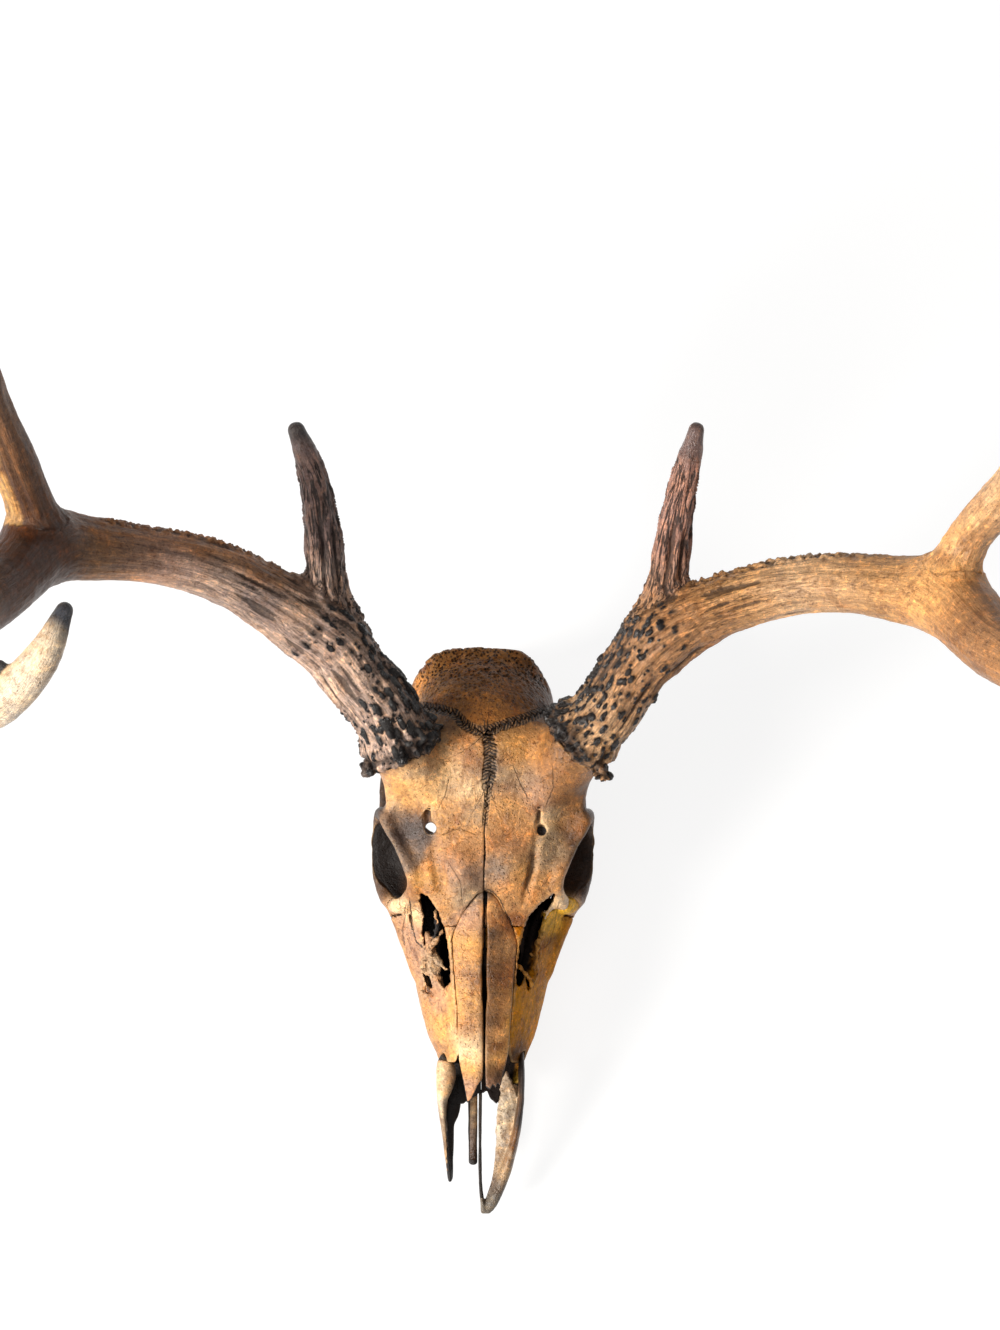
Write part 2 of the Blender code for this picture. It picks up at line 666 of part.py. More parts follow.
# ---------------------------------------------------------------------------
# Nasals, premaxillae and teeth
# ---------------------------------------------------------------------------
def nasal_rings(side, grow=0.0, lift=0.0):
    """Rings of one nasal bone: a thin plate that arches down to its outer edge."""
    rings = []
    for s, half_width, top in NASAL:
        across = np.linspace(MIDLINE_GAP / 2 - grow, half_width + grow, 4)
        upper = [(x, top - NASAL_DROP * half_width / NASAL_ROUND * (x / half_width) ** 2)
                 for x in across]
        lower = [(x, z - NASAL_THICKNESS - grow) for x, z in reversed(upper)]
        upper = [(x, z + lift) for x, z in upper]
        rings.append([world(side * x, s, z) for x, z in upper + lower])
    return rings


def premaxillae(bones, cutters):
    """The forked front of the snout: the left is whole, the right has lost its tip."""
    left = loft_object("premaxilla_left", strap_rings(PREMAXILLA_SIDE, 1), bones)
    for rows in (PREMAXILLA_SHELF, ROD_LEFT):
        boolean(left, 'UNION', loft_object("left_part", strap_rings(rows, 1, 1), cutters))
    loft_object("premaxilla_right", strap_rings(PREMAXILLA_BROKEN, -1), bones)
    loft_object("palatine_rod_right", strap_rings(ROD_BROKEN, -1), bones)


def tooth_rings(front, back, inner, outer):
    """Rings of one cheek tooth: an eight-sided block, narrower at its worn face."""
    middle = ((inner + outer) / 2, (front + back) / 2)
    half = ((outer - inner) / 2, (back - front) / 2)
    corner = 0.55
    plan = [(1, corner), (corner, 1), (-corner, 1), (-1, corner),
            (-1, -corner), (-corner, -1), (corner, -1), (1, -corner)]
    rings = []
    for z, share in ((0.0, TOOTH_TAPER), (5.0, 1.0), (TOOTH_TOP, 0.95)):
        rings.append([world(middle[0] + half[0] * share * u, middle[1] + half[1] * share * v, z)
                      for u, v in plan])
    return rings


def add_teeth(maxilla, side, cutters):
    """The six cheek teeth of one side, joined to the bone that they grow from."""
    front = TOOTH_ROW_FRONT
    for back, width, outer in TEETH:
        inner_x, outer_x = sorted((side * (outer - width), side * outer))
        rings = tooth_rings(front, back - TOOTH_GAP, inner_x, outer_x)
        boolean(maxilla, 'UNION', loft_object("tooth", rings, cutters))
        front = back


# ---------------------------------------------------------------------------
# Antlers
# ---------------------------------------------------------------------------
def antler_path(rows, side):
    """A fine smooth path through the rows of a beam or a tine."""
    return smooth_rows(on_side(rows, side), 10)


def tube_rings(path, distances, sides, extra=0.0):
    """Round rings at distances along a path, each square to the path there."""
    rows = rows_at(path, distances)
    tangents = rows_at(path, distances + CHORD) - rows_at(path, distances - CHORD)
    radius = rows[:, 3] + extra
    return oval_rings(rows[:, :3], tangents[:, :3], radius, radius, sides)


def spaced(start, end, least=2):
    """Distances from start to end, about RING_STEP apart."""
    return np.linspace(start, end, max(least, int(round((end - start) / RING_STEP)) + 1))


def antler(word, side, beam, forks, tines, bones, cutters):
    """One antler, parted just past its main forks into lengths of beam and tines."""
    path = antler_path(beam, side)
    run = run_along(path)
    path[:, 3] += BURR_SWELL * np.exp(-((run - BURR_HEIGHT) / BURR_WIDTH) ** 2)
    starts = (BURR_STEPS[-1],) + tuple(fork + GAP / 2 for fork in forks)
    ends = tuple(fork - GAP / 2 for fork in forks) + (run[-1],)
    spans = [spaced(start, end) for start, end in zip(starts, ends)]
    spans[0] = np.concatenate([BURR_STEPS[:-1], spans[0]])
    rings = tube_rings(path, np.concatenate(spans), BEAM_SIDES)
    for name, span in zip(("base", "beam", "front_beam", "beam_tip"), spans):
        loft_object("antler_" + word + "_" + name, rings[:len(span)], bones)
        rings = rings[len(span):]

    ahead = path[1, :3] - path[0, :3]
    path[0, :3] -= GAP * ahead / np.linalg.norm(ahead)
    rings = tube_rings(path, np.concatenate(spans), BEAM_SIDES, GAP)
    core = loft_object("beam_clearance", rings, cutters)
    for name, rows in tines.items():
        tine_path = antler_path(rows, side)
        distances = spaced(0.0, run_along(tine_path)[-1], 3)
        rings = tube_rings(tine_path, distances, TINE_SIDES)
        tine = loft_object("antler_" + word + "_" + name, rings, bones)
        boolean(tine, 'DIFFERENCE', core)
        keep_largest(tine)
    return core


# ---------------------------------------------------------------------------
# Colours
# ---------------------------------------------------------------------------
def finish(name, colour, roughness):
    """A Principled material with one colour."""
    mat = bpy.data.materials.new(name)
    mat.use_nodes = True
    shader = mat.node_tree.nodes["Principled BSDF"]
    shader.inputs["Base Color"].default_value = (*colour, 1.0)
    shader.inputs["Roughness"].default_value = roughness
    shader.inputs["Metallic"].default_value = 0.0
    mat.diffuse_color = (*colour, 1.0)
    return mat


def colour_of(name):
    """The colour and roughness of a bone or a length of antler, by its name."""
    if name.endswith("_tine") or name.endswith("_tip"):
        return (PALE_TINE if "tip" in name else DARK_ANTLER), 0.5
    if name.startswith("antler_right"):
        return DARK_ANTLER, 0.55
    if name.startswith("antler_left"):
        return TAN_ANTLER, 0.5
    if name in ("braincase", "sphenoid"):
        return BROWN_BONE, 0.6
    if name == "maxilla_left":
        return OCHRE_BONE, 0.45
    return AMBER_BONE, 0.5


def build():
    for obj in list(bpy.data.objects):
        bpy.data.objects.remove(obj, do_unlink=True)
    bones = bpy.data.collections.new("deer_skull")
    cutters = bpy.data.collections.new("cutters")
    bpy.context.scene.collection.children.link(bones)
    bpy.context.scene.collection.children.link(cutters)

    whole = cranium(cutters)
    for side in (-1, 1):
        bed = loft_object("nasal_bed", nasal_rings(side, GAP, BED_LIFT), cutters)
        boolean(whole, 'DIFFERENCE', bed)
        rows = PREMAXILLA_SIDE if side > 0 else PREMAXILLA_BROKEN
        socket = loft_object("premaxilla_bed", strap_rings(rows, side, extra=GAP), cutters)
        boolean(whole, 'DIFFERENCE', socket)
    boolean(whole, 'DIFFERENCE', region("ground", band_plan(-SIDE, 4 * SIDE), (BELOW, 0.0),
                                        (0.0, 0.0), 0.0, cutters))
    parted = part_bones(whole, bones, cutters)
    for side, word in ((-1, "right"), (1, "left")):
        add_teeth(parted["maxilla"][side], side, cutters)
        loft_object("nasal_" + word, nasal_rings(side), bones)
    premaxillae(bones, cutters)

    right_tines = {"brow_tine": BROW_RIGHT, "second_tine": SECOND_RIGHT,
                   "third_tine": THIRD_RIGHT, "fourth_tine": FOURTH_RIGHT}
    left_tines = {"brow_tine": BROW_LEFT, "second_tine": SECOND_LEFT, "third_tine": THIRD_LEFT}
    burrs = {-1: antler("right", -1, BEAM_RIGHT, FORKS_RIGHT, right_tines, bones, cutters),
             1: antler("left", 1, BEAM_LEFT, FORKS_LEFT, left_tines, bones, cutters)}
    for side, clearance in burrs.items():
        boolean(parted["frontal"][side], 'DIFFERENCE', clearance)
        keep_largest(parted["frontal"][side])

    for obj in bones.objects:
        obj.data.shade_smooth()
        obj.data.set_sharp_from_angle(angle=SHARP)
        obj.data.materials.clear()
        obj.data.materials.append(finish(obj.name, *colour_of(obj.name)))
    for obj in cutters.objects:
        obj.hide_render = True
        obj.display_type = 'WIRE'


build()
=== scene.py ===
"""White-tailed deer skull with antlers: the dressed model on a pale floor.

Places are written as (x, s, z) in millimetres: x from the middle of the skull, s back
from the tip of the snout, z up from the floor.  The deer's left side is at +X.

The skull is worked out as a distance: a block of space holds, at each point of an even
grid, how far that point is from the surface of the bone (below 0 inside it).  Forms are
melted together and hollows are carved there, the block is parted along the sutures, and
the skin of each bone is drawn where its distance is 0.
"""

import math

import bpy
import numpy as np
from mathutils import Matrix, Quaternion, Vector


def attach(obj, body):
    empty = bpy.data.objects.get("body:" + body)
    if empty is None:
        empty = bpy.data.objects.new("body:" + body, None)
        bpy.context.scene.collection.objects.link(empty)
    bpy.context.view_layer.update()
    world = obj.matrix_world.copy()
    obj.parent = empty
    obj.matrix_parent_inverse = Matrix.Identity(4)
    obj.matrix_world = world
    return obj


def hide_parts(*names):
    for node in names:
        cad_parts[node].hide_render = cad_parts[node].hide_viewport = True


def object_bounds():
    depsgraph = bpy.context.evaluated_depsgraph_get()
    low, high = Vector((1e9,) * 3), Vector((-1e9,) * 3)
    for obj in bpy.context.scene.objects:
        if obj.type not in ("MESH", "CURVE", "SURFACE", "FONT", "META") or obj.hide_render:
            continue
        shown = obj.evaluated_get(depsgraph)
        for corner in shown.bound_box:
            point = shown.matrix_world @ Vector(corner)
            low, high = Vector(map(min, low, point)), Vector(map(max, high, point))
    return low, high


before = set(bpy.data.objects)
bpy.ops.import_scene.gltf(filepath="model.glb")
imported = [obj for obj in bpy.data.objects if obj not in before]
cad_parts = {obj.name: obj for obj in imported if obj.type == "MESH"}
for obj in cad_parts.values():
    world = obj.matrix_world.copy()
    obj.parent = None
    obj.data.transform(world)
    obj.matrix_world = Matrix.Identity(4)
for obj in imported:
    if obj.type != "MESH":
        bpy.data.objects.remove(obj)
cad_low, cad_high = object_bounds()

MM = 0.001
ORIGIN_BACK = 190.0                   # s of the model's origin
GAP = 0.3                             # room round a bone or antler that sits in another
FAR = 20.0                            # distance given to points well away from any bone
BONE_STEP = 0.75
ANTLER_STEP = 1.03

# --- forms of the skull -------------------------------------------------------
ORBIT = ((45, 183, 71), (27, 21.5, 21))
# s, roof z, roof half-width, roof drop, cheek half-width, cheek z, floor half-width, floor z
FACE = [
    (62, 57, 10, 2, 19.5, 36, 12, 22), (82, 66, 11.5, 3, 22, 37, 17, 19),
    (98, 71.5, 13, 3, 28, 37, 24, 13), (114, 75.5, 15.5, 3, 32.4, 37, 28, 12),
    (130, 79.5, 18, 3, 36, 40, 31, 12), (145, 83.5, 22, 3, 39.5, 44, 31, 12),
    (158, 88, 28, 4, 43, 51, 29, 15), (170, 94, 34, 5, 43, 58, 24, 26),
    (178, 96, 36, 6, 36, 62, 20, 32),
]
VAULT = 4.0
# s, roof z, half-width, drop at the edge, thickness
FOREHEAD = [
    (156, 90, 31, 6, 10), (166, 94, 37, 7, 10), (175, 97.5, 38.5, 8, 9),
    (185, 101, 43.5, 9, 9), (194, 104.5, 50.5, 10, 9), (202, 107.5, 52, 11, 9),
    (212, 111, 50.5, 10, 11), (223, 114.5, 48, 9, 14), (235, 117.5, 46, 8, 18),
    (246, 117, 38, 8, 18), (258, 110, 30, 9, 14),
]
# s, half-width, floor z, roof z
BRAINCASE = [
    (206, 25, 46, 103), (220, 32, 39, 112), (236, 36.5, 33, 117), (252, 38.5, 28, 117),
    (265, 37.5, 25, 112.5), (277, 34.5, 22, 104.5), (286, 26.5, 22, 95.5), (291, 19.5, 27, 84),
    (293, 15, 36, 64),
]
MIDDLE = [
    (150, 20, 34, 80), (166, 21, 32, 88), (182, 17, 34, 94), (198, 19, 36, 100),
    (214, 27, 38, 104),
]
NOSE_CAVITY = [
    (40, 16, 29, 72), (60, 16, 29, 70), (72, 14.5, 28, 68), (90, 15, 25.5, 68),
    (106, 18, 24, 72), (124, 21, 24, 76), (144, 22, 25, 79), (158, 18, 27, 77),
    (166, 11, 29, 66),
]

# --- round bars: (x, s, z, radius) --------------------------------------------
ORBIT_RIM = [
    (42.5, 160.5, 66, 4.4), (36.5, 166, 86, 3.6), (41.8, 181, 92.5, 3.4),
    (51, 199, 94, 3.6), (54.4, 206, 79, 3.2), (55.6, 200, 62, 2.8),
    (55.4, 184, 52, 3.2), (49.5, 168, 51, 5),
]
CHEEK_BAR = [
    (31, 134, 38, 7), (36.5, 148, 41, 7.5), (44.5, 164, 46, 6.2), (51.2, 180, 49, 4.8),
]
ARCH = [
    (53.8, 197, 57, 4.8), (51, 213, 57.5, 4.2), (50.5, 229, 55, 4.4), (45, 243, 51, 6),
    (36, 251, 48, 7),
]
NUCHAL_CREST = [
    (32.5, 267, 62, 4), (30, 278.5, 77, 4.2), (22.6, 287, 88, 4.6), (12, 289.5, 90, 4),
    (0, 290, 90.5, 4),
]
PARACONDYLAR = [
    (27, 279, 46, 6.5), (27.5, 280, 28, 5.4), (27, 277, 12, 4.4), (26, 274, -3, 3.8),
]
BASE_BAR = [
    (0, 205, 36, 7.5), (0, 235, 32, 9.5), (0, 266, 27, 11), (0, 288, 25, 11),
]
PEDICLE = [(32, 219, 94, 18), (38, 225, 105, 17), (45.5, 234, 118.5, 16.5)]

# --- flattened bars: (x, s, z, half-width, half-height) -----------------------
PTERYGOID = [
    (14, 156, 28, 2.3, 10), (13, 176, 27, 2.2, 11), (12.3, 192, 25, 2.2, 9), (12, 204, 20, 2, 4),
]
PREMAXILLA_SIDE = [
    (20.4, 86, 44, 1.5, 6.5), (20.6, 66, 36, 1.7, 8.5), (18.8, 50, 29, 2.1, 7.5),
    (15, 34, 23.5, 2.7, 5.2), (10, 20, 19.5, 2.9, 3.4), (4.8, 9.5, 17, 2.6, 2.4),
    (1.2, 7, 16.5, 0.8, 1.8),
]
PREMAXILLA_SHELF = [
    (16.2, 72, 29, 3.4, 1.6), (14.8, 61.4, 25, 5.4, 1.6), (12.9, 50, 22.8, 4.8, 1.5),
    (11.6, 38.7, 21, 3.9, 1.4), (9.2, 23.4, 18.4, 3.4, 1.3), (4.8, 13, 17, 2.4, 1.2),
    (2.6, 9.5, 16.8, 1.4, 1),
]
PREMAXILLA_BROKEN = [
    (19.6, 83, 45, 3, 3.5), (19.3, 80, 44.3, 4.6, 3.6), (18.9, 74, 42, 5.1, 4),
    (19.6, 69, 39.5, 4.2, 4.6), (20.5, 64, 36.5, 2.9, 5.2), (20.6, 58, 33, 2.1, 5.6),
    (19.6, 50, 29.5, 1.7, 5.4), (18.3, 40, 25.6, 1.4, 4.4), (16.7, 28, 21.8, 1.1, 3),
    (16.2, 23, 20.4, 0.8, 2.2),
]
# the thin inner wall of that bone, which faces the nose
PREMAXILLA_INNER = [
    (15.5, 74, 30, 3.2, 3), (15, 66, 28.5, 4.2, 2.5), (15.6, 58, 27, 4.2, 2.5),
    (16.8, 52, 26, 2.8, 3), (16.7, 46, 25, 2.4, 3), (16.3, 38, 23.5, 1.9, 2.6),
    (15.8, 30, 21.5, 1.2, 2), (15.8, 24.5, 20, 0.9, 1.5),
]
# a loose pale flake on the shelf of the left one
PREMAXILLA_FLAKE = [
    (13.2, 78, 35, 0.6, 0.7), (13.2, 72, 32, 3, 1), (13.4, 67, 30, 5, 1.2),
    (13.8, 62, 28.4, 5.2, 1.2), (13.4, 55, 26.6, 5, 1.2), (12.3, 47, 24.2, 3.8, 1),
    (10.6, 40, 22.6, 2.6, 0.9), (9.1, 36.8, 21.6, 1.2, 0.7),
]
# (x, s) of the front edge of the palate between the rods
PALATE_FRONT = [
    (-13, 58), (-10, 61), (-8.4, 62.7), (-6, 64.5), (0, 68), (3.1, 68.4), (6.4, 63), (8.4, 62),
    (11, 68), (14, 72), (17, 71.5), (21, 71),
]
ROD_LEFT = [
    (1.4, 8.5, 17, 1.3, 2), (-0.1, 22, 18.5, 0.9, 1.9), (-0.4, 44, 21, 0.85, 1.8),
    (-0.3, 69, 24.5, 1, 2),
]
ROD_BROKEN = [
    (4.1, 32.8, 19.6, 2.3, 1.8), (4.2, 44, 21, 2.4, 1.8), (4.3, 69, 24.5, 2.6, 2),
]

# --- ellipsoids: centre, radii ------------------------------------------------
KNOBS = [((12.5, 291, 27), (8.5, 10, 12.5)), ((20, 261, 25), (8, 12.5, 10)),
         ((36, 258, 47), (8, 7, 8)), ((38, 243, 46), (10, 8, 7))]
# openings before the eyes as seen from above and in front, (x, s) where their edges
# cross the level z = 70, and how far x and s shift for each millimetre up from there
OPENING_RIGHT = [
    (-32.5, 168), (-28.3, 165.4), (-23.6, 157.5), (-20.2, 149), (-18.4, 138.5), (-17.4, 128),
    (-17.6, 118.6), (-20.4, 115.2), (-24, 118.6), (-26.4, 113.4), (-30.4, 114.2), (-32, 121),
    (-29, 127.5), (-30.8, 136), (-32.6, 143.7), (-31.4, 154.2), (-33.4, 162.2),
]
OPENING_LEFT = [
    (37.4, 168.6), (33.4, 165.6), (28, 161), (23.4, 155.2), (20, 146.6), (18.4, 138.7),
    (17.4, 129.8), (16.4, 118.6), (18.4, 116.4), (20.8, 120.2), (22.8, 113.8), (25.8, 116.4),
    (26.9, 125.6), (28.2, 136.1), (29.8, 146.6), (32.4, 156.2), (36.4, 163.6),
]
SIGHT = (-0.0456, -0.3023)
OPENING_LEVEL = 70.0
OPENING_FLOOR = 46.0
# holes: centre, radii, how far their edge is rounded
HOLES = [
    ((0, 298, 38), (11, 30, 11), 1.5),            # behind the braincase
    ((0, 176, 27), (9.5, 20, 8), 2),              # back of the nose
    ((46, 257, 47.5), (7, 3, 3.4), 0.8),          # ear
    ((33, 103, 37), (4, 5.5, 2.6), 1),            # side of the snout
    ((10, 124, 15), (1.6, 3.2, 3), 0.6),          # palate
]
# the snout's front edge: its s at z = 50, how far it leans forward for each millimetre
# up, and the lowest z where it is cut
NOSE_MOUTH_BACK = 80.5
NOSE_MOUTH_LEAN = 0.12
NOSE_MOUTH_FLOOR = 31.0

# --- brow ---------------------------------------------------------------------
# the hole over each eye: (x, s) at a level, radius, and how deep it goes, by side
FORAMEN = (28.5, 193)
FORAMEN_LEVEL = 101.0
FORAMEN_RADIUS = 2.8
FORAMEN_BOTTOM = {-1: 62, 1: 99.6}
# furrow before that hole and slit behind it, by side: (x, s, height over the forehead,
# radius)
BROW_FURROW = {
    -1: [(28.8, 194, 2, 2.6), (28, 187, 2.6, 3.6), (26.6, 179, 2.9, 3.8),
         (24.6, 171, 3, 3.6), (23.4, 163, 3.4, 3.2)],
    1: [(27.8, 195, 1.2, 2.2), (26.4, 187, 0.9, 2), (24.9, 179, 0.7, 1.9),
        (23.1, 171, 0.8, 1.8), (21.2, 163, 1.3, 1.6), (20, 157, 2, 1.4)],
}
BROW_SLIT = {
    -1: [(29.4, 194, -0.6, 2.4), (30.2, 198, -1.4, 2), (29.6, 202, -1.2, 1.6),
         (28, 206.5, 0, 0.9)],
    1: [(27.6, 194, -1, 1.9), (26.8, 198, -1.3, 1.5), (27, 202, -0.8, 1.1),
        (27.4, 205, 0, 0.7)],
}
# middle of the hollow beside the hole, in the same terms
BROW_HOLLOW = (40.5, 189, 12.4, 0)
# slot before the rim of the right eye socket: centre, radii, turn
TEAR_SLOT = ((-37.4, 149, 60), (1.1, 9, 4), 0.12)

# back end s, width, outer x of each cheek tooth
TEETH = [
    (99, 9, 23), (111, 11.5, 27), (122, 13, 30), (136, 15, 33), (151, 16, 34.5), (167, 15, 34.5),
]
TOOTH_ROW_FRONT = 88.0

# s, outer half-width, top z of the nasal bones
NASAL = [
    (59, 5.5, 62.5), (66, 10.5, 65), (82, 13.2, 69.5), (104, 13.8, 75.5), (124, 15, 80.5),
    (140, 17, 84.8), (151, 13, 88.2), (162, 3, 91.6),
]
NASAL_THICKNESS = 4.4
NASAL_DROP = 4.0
NASAL_ROUND = 15.0
# outlines of the two nasal bones in plan, (x, s): the right one ends in a point in
# front, the left one in a ragged break
NASAL_RIGHT_PLAN = [
    (-0.9, 162.5), (-1.3, 150), (-1.1, 138), (-1.6, 124), (-1.3, 110), (-0.8, 104), (-0.6, 90),
    (-0.5, 70.5), (-3.4, 66.6), (-6.4, 60.5), (-8.2, 58.8), (-10.2, 68), (-12.6, 80),
    (-13.4, 92), (-13.8, 106), (-15.6, 124), (-17, 139), (-15.4, 144.5), (-12, 151.5), (-8, 157),
    (-4.2, 161),
]
NASAL_LEFT_PLAN = [
    (1.1, 162.5), (3.4, 161.4), (6.2, 158.8), (9.8, 152.6), (12.6, 148.8), (15, 143.6),
    (16.6, 138), (15.2, 122), (13.8, 104), (12.8, 86), (10.9, 76), (8.6, 66.6), (7.2, 68.6),
    (6.2, 65.6), (4.8, 67.6), (3.2, 65), (1, 66.4), (0.6, 72), (0.6, 88), (0.8, 103), (1.4, 110),
    (0.9, 126), (1.3, 140), (0.8, 152),
]

# --- sutures ------------------------------------------------------------------
CORONAL = [
    (-44, 264.5), (-27.8, 255.4), (-21.7, 252.9), (-16.6, 250.6), (-12.5, 245), (-8.9, 242),
    (-5.4, 240.4), (0, 240), (3.9, 241.8), (8, 243.5), (12.7, 245.3), (17.4, 247.3),
    (24.2, 250.6), (32.5, 256.5), (44, 264.5),
]
INTERFRONTAL = [
    (-0.4, 146), (-0.9, 162), (-1, 172.6), (-0.6, 182.3), (-1.1, 192), (-0.4, 199.2), (0.1, 207),
    (0.5, 213.7), (0.9, 220), (1.7, 227.5), (1.2, 233.5), (-0.4, 240),
]
FRONTAL_FRONT = 146.0
FRONTAL_FLOOR = (43.7, 0.18)          # its z at s = 0 and its rise per millimetre of s
CHEEK_SEAM = [(37, 158), (37, 190), (44, 205), (44, 236)]
CHEEK_CEILING = (-136, 1.2)           # the same for the top of the cheek bone
CEILING_STEEPNESS = 1.56              # length of that plane's slope
MAXILLA_BACK = 169.0
BRAINCASE_FRONT = 214.0

# --- antlers: (outward x, s, z, radius) ---------------------------------------
BEAM_RIGHT = [
    (42.7, 230.6, 115.5, 16.6), (53.6, 248.7, 129.5, 17.6), (66.9, 262.9, 138, 17),
    (78.1, 275.9, 147, 17.4), (92.5, 284.8, 157, 17.6), (116.7, 296.8, 171, 15.2),
    (141.8, 304.3, 185, 14), (167.7, 305.7, 198, 13.3), (192.7, 303.2, 213, 14.6),
    (215, 298, 231, 17.5), (230, 264.7, 264, 14.6), (243, 234, 305, 13.8),
    (243, 202, 350, 12), (230, 178, 384, 10.5), (205, 167, 416, 9.2),
    (184.3, 178.6, 440, 7.2), (174.6, 195.5, 450.6, 3.4),
]
BEAM_LEFT = [
    (45, 235, 118, 17.2), (59.3, 247.3, 130.5, 16.8), (69.6, 261.5, 139.5, 16.2),
    (79.8, 273.5, 148, 16), (94.5, 284.5, 158, 16.6), (115.7, 292.3, 170, 14.6),
    (143.5, 296.9, 184, 13.8), (170.5, 295.2, 198, 14), (196.5, 287.8, 213, 16),
    (216.5, 277, 230, 18), (231, 243.5, 262, 15.2), (243, 217, 306, 13.8),
    (246, 192, 352, 12), (240, 172, 392, 10.2), (224, 168, 424, 7.4),
    (207, 183, 449.5, 3.4),
]
# the knob that stands out at the front of each burr, by side
BURR_KNOB = {
    1: ((56.8, 217.2, 123), (5.6, 5.4, 5.4)),
    -1: ((-60, 219.8, 120), (4.4, 4.4, 4.4)),
}
# the burr's ring: how far it swells, where along the beam, over what length
BURR_SWELL, BURR_AT, BURR_SPREAD = 3.2, 5, 4.6
# how the two antlers differ, by side
PEARL_SIZE = {1: 3.2, -1: 3.8}
PEARL_WIDTH = {1: 0, -1: 0.06}        # added to a pearl's radius, as a share of its cell
PEARL_RARITY = {1: 0.72, -1: 0.58}    # share of the small cells that hold no pearl
CRUMBLY_END = {1: 150, -1: 196}       # where the beam's crumbly edge starts to fade
INNER_SHADE = {1: 0.5, -1: 0.7}
TINES_RIGHT = {
    "brow_tine": [
        (80, 283, 149, 15), (82.6, 303, 162, 10.6), (84.6, 324, 183, 8.6),
        (88.4, 344.2, 205, 6.9), (96.8, 362.5, 222.5, 4.2),
    ],
    "second_tine": [
        (215, 298, 230, 14.5), (220.6, 315.4, 256, 11.2), (230.5, 338.5, 291, 9.6),
        (237.5, 358, 329, 7.8), (241.5, 374, 366, 3.6),
    ],
    "third_tine": [
        (243, 234, 305, 12), (249, 257, 335, 9.6), (252.5, 273, 370, 8), (251.5, 282, 406, 6),
        (246.5, 287, 434, 3.4),
    ],
    "fourth_tine": [
        (218.5, 170.5, 401, 8), (209, 174.5, 419, 5), (200.5, 178, 434, 2.6),
    ],
}
TINES_LEFT = {
    "brow_tine": [
        (84.5, 281, 149, 15), (88.6, 305, 164, 10.3), (90.8, 327.4, 184, 8),
        (94.8, 348.9, 206, 6.2), (98.4, 365.6, 222.5, 3.8),
    ],
    "second_tine": [
        (214, 279, 228, 14.5), (223.5, 301.7, 250, 10.6), (237.2, 316, 284, 9.5),
        (247.5, 336, 326, 7.2), (253.5, 352, 364, 3.6),
    ],
    "third_tine": [
        (244, 216, 309, 12), (249.5, 241, 339, 9.4), (251.5, 260, 374, 7.6),
        (248.5, 273, 410, 5.6), (242.5, 280, 436, 3.4),
    ],
}


# --- Paths --------------------------------------------------------------------
def smooth_rows(rows, steps=3, closed=False):
    """Rows on the smooth curve through the given ones, `steps` to each span: a cubic whose
    slope at each row is half the way from the row before it to the row after it."""
    table = np.asarray(rows, dtype=float)
    if closed:
        padded = np.vstack([table[-1], table, table[0], table[1]])
    else:
        padded = np.vstack([2 * table[0] - table[1], table, 2 * table[-1] - table[-2]])
    t = np.arange(steps)[:, None] / steps
    a, b, c, d = [padded[k:len(padded) - 3 + k, None, :] for k in range(4)]
    out = 0.5 * (2 * b + (c - a) * t + (2 * a - 5 * b + 4 * c - d) * t ** 2
                 + (3 * b - a - 3 * c + d) * t ** 3)
    out = out.reshape(-1, table.shape[1])
    return out if closed else np.vstack([out, table[-1:]])


def on_side(rows, side):
    """The same rows on the deer's left (+1) or right (-1) side."""
    out = np.array(rows, dtype=float)
    out[:, 0] *= side
    return out


def run_along(rows):
    """Distance along a path at each of its rows: the sum of the steps so far."""
    steps = np.linalg.norm(np.diff(rows[:, :3], axis=0), axis=1)
    return np.concatenate([[0.0], np.cumsum(steps)])


def rows_for(rows, s):
    """The smooth rows read off at each s, the first column."""
    fine = smooth_rows(rows, 6)
    return np.column_stack([np.interp(s, fine[:, 0], fine[:, k]) for k in range(fine.shape[1])])


# --- Blocks of space that hold distances --------------------------------------
def smooth_min(a, b, blend):
    """The lower of two distances, less a rounding h * h * blend / 4, where h falls from 1
    to 0 as they draw `blend` apart."""
    h = np.maximum(1.0 - np.abs(a - b) / blend, 0.0)
    return np.minimum(a, b) - h * h * (blend * 0.25)


def smooth_max(a, b, blend):
    """The higher of two distances, rounded over in the same way."""
    return -smooth_min(-a, -b, blend)


def capped(distance, rows, s):
    """A form cut off, with rounded edges, at the s of its first and last rows."""
    return smooth_max(distance, np.maximum(rows[0][0] - s, s - rows[-1][0]), 3.0)


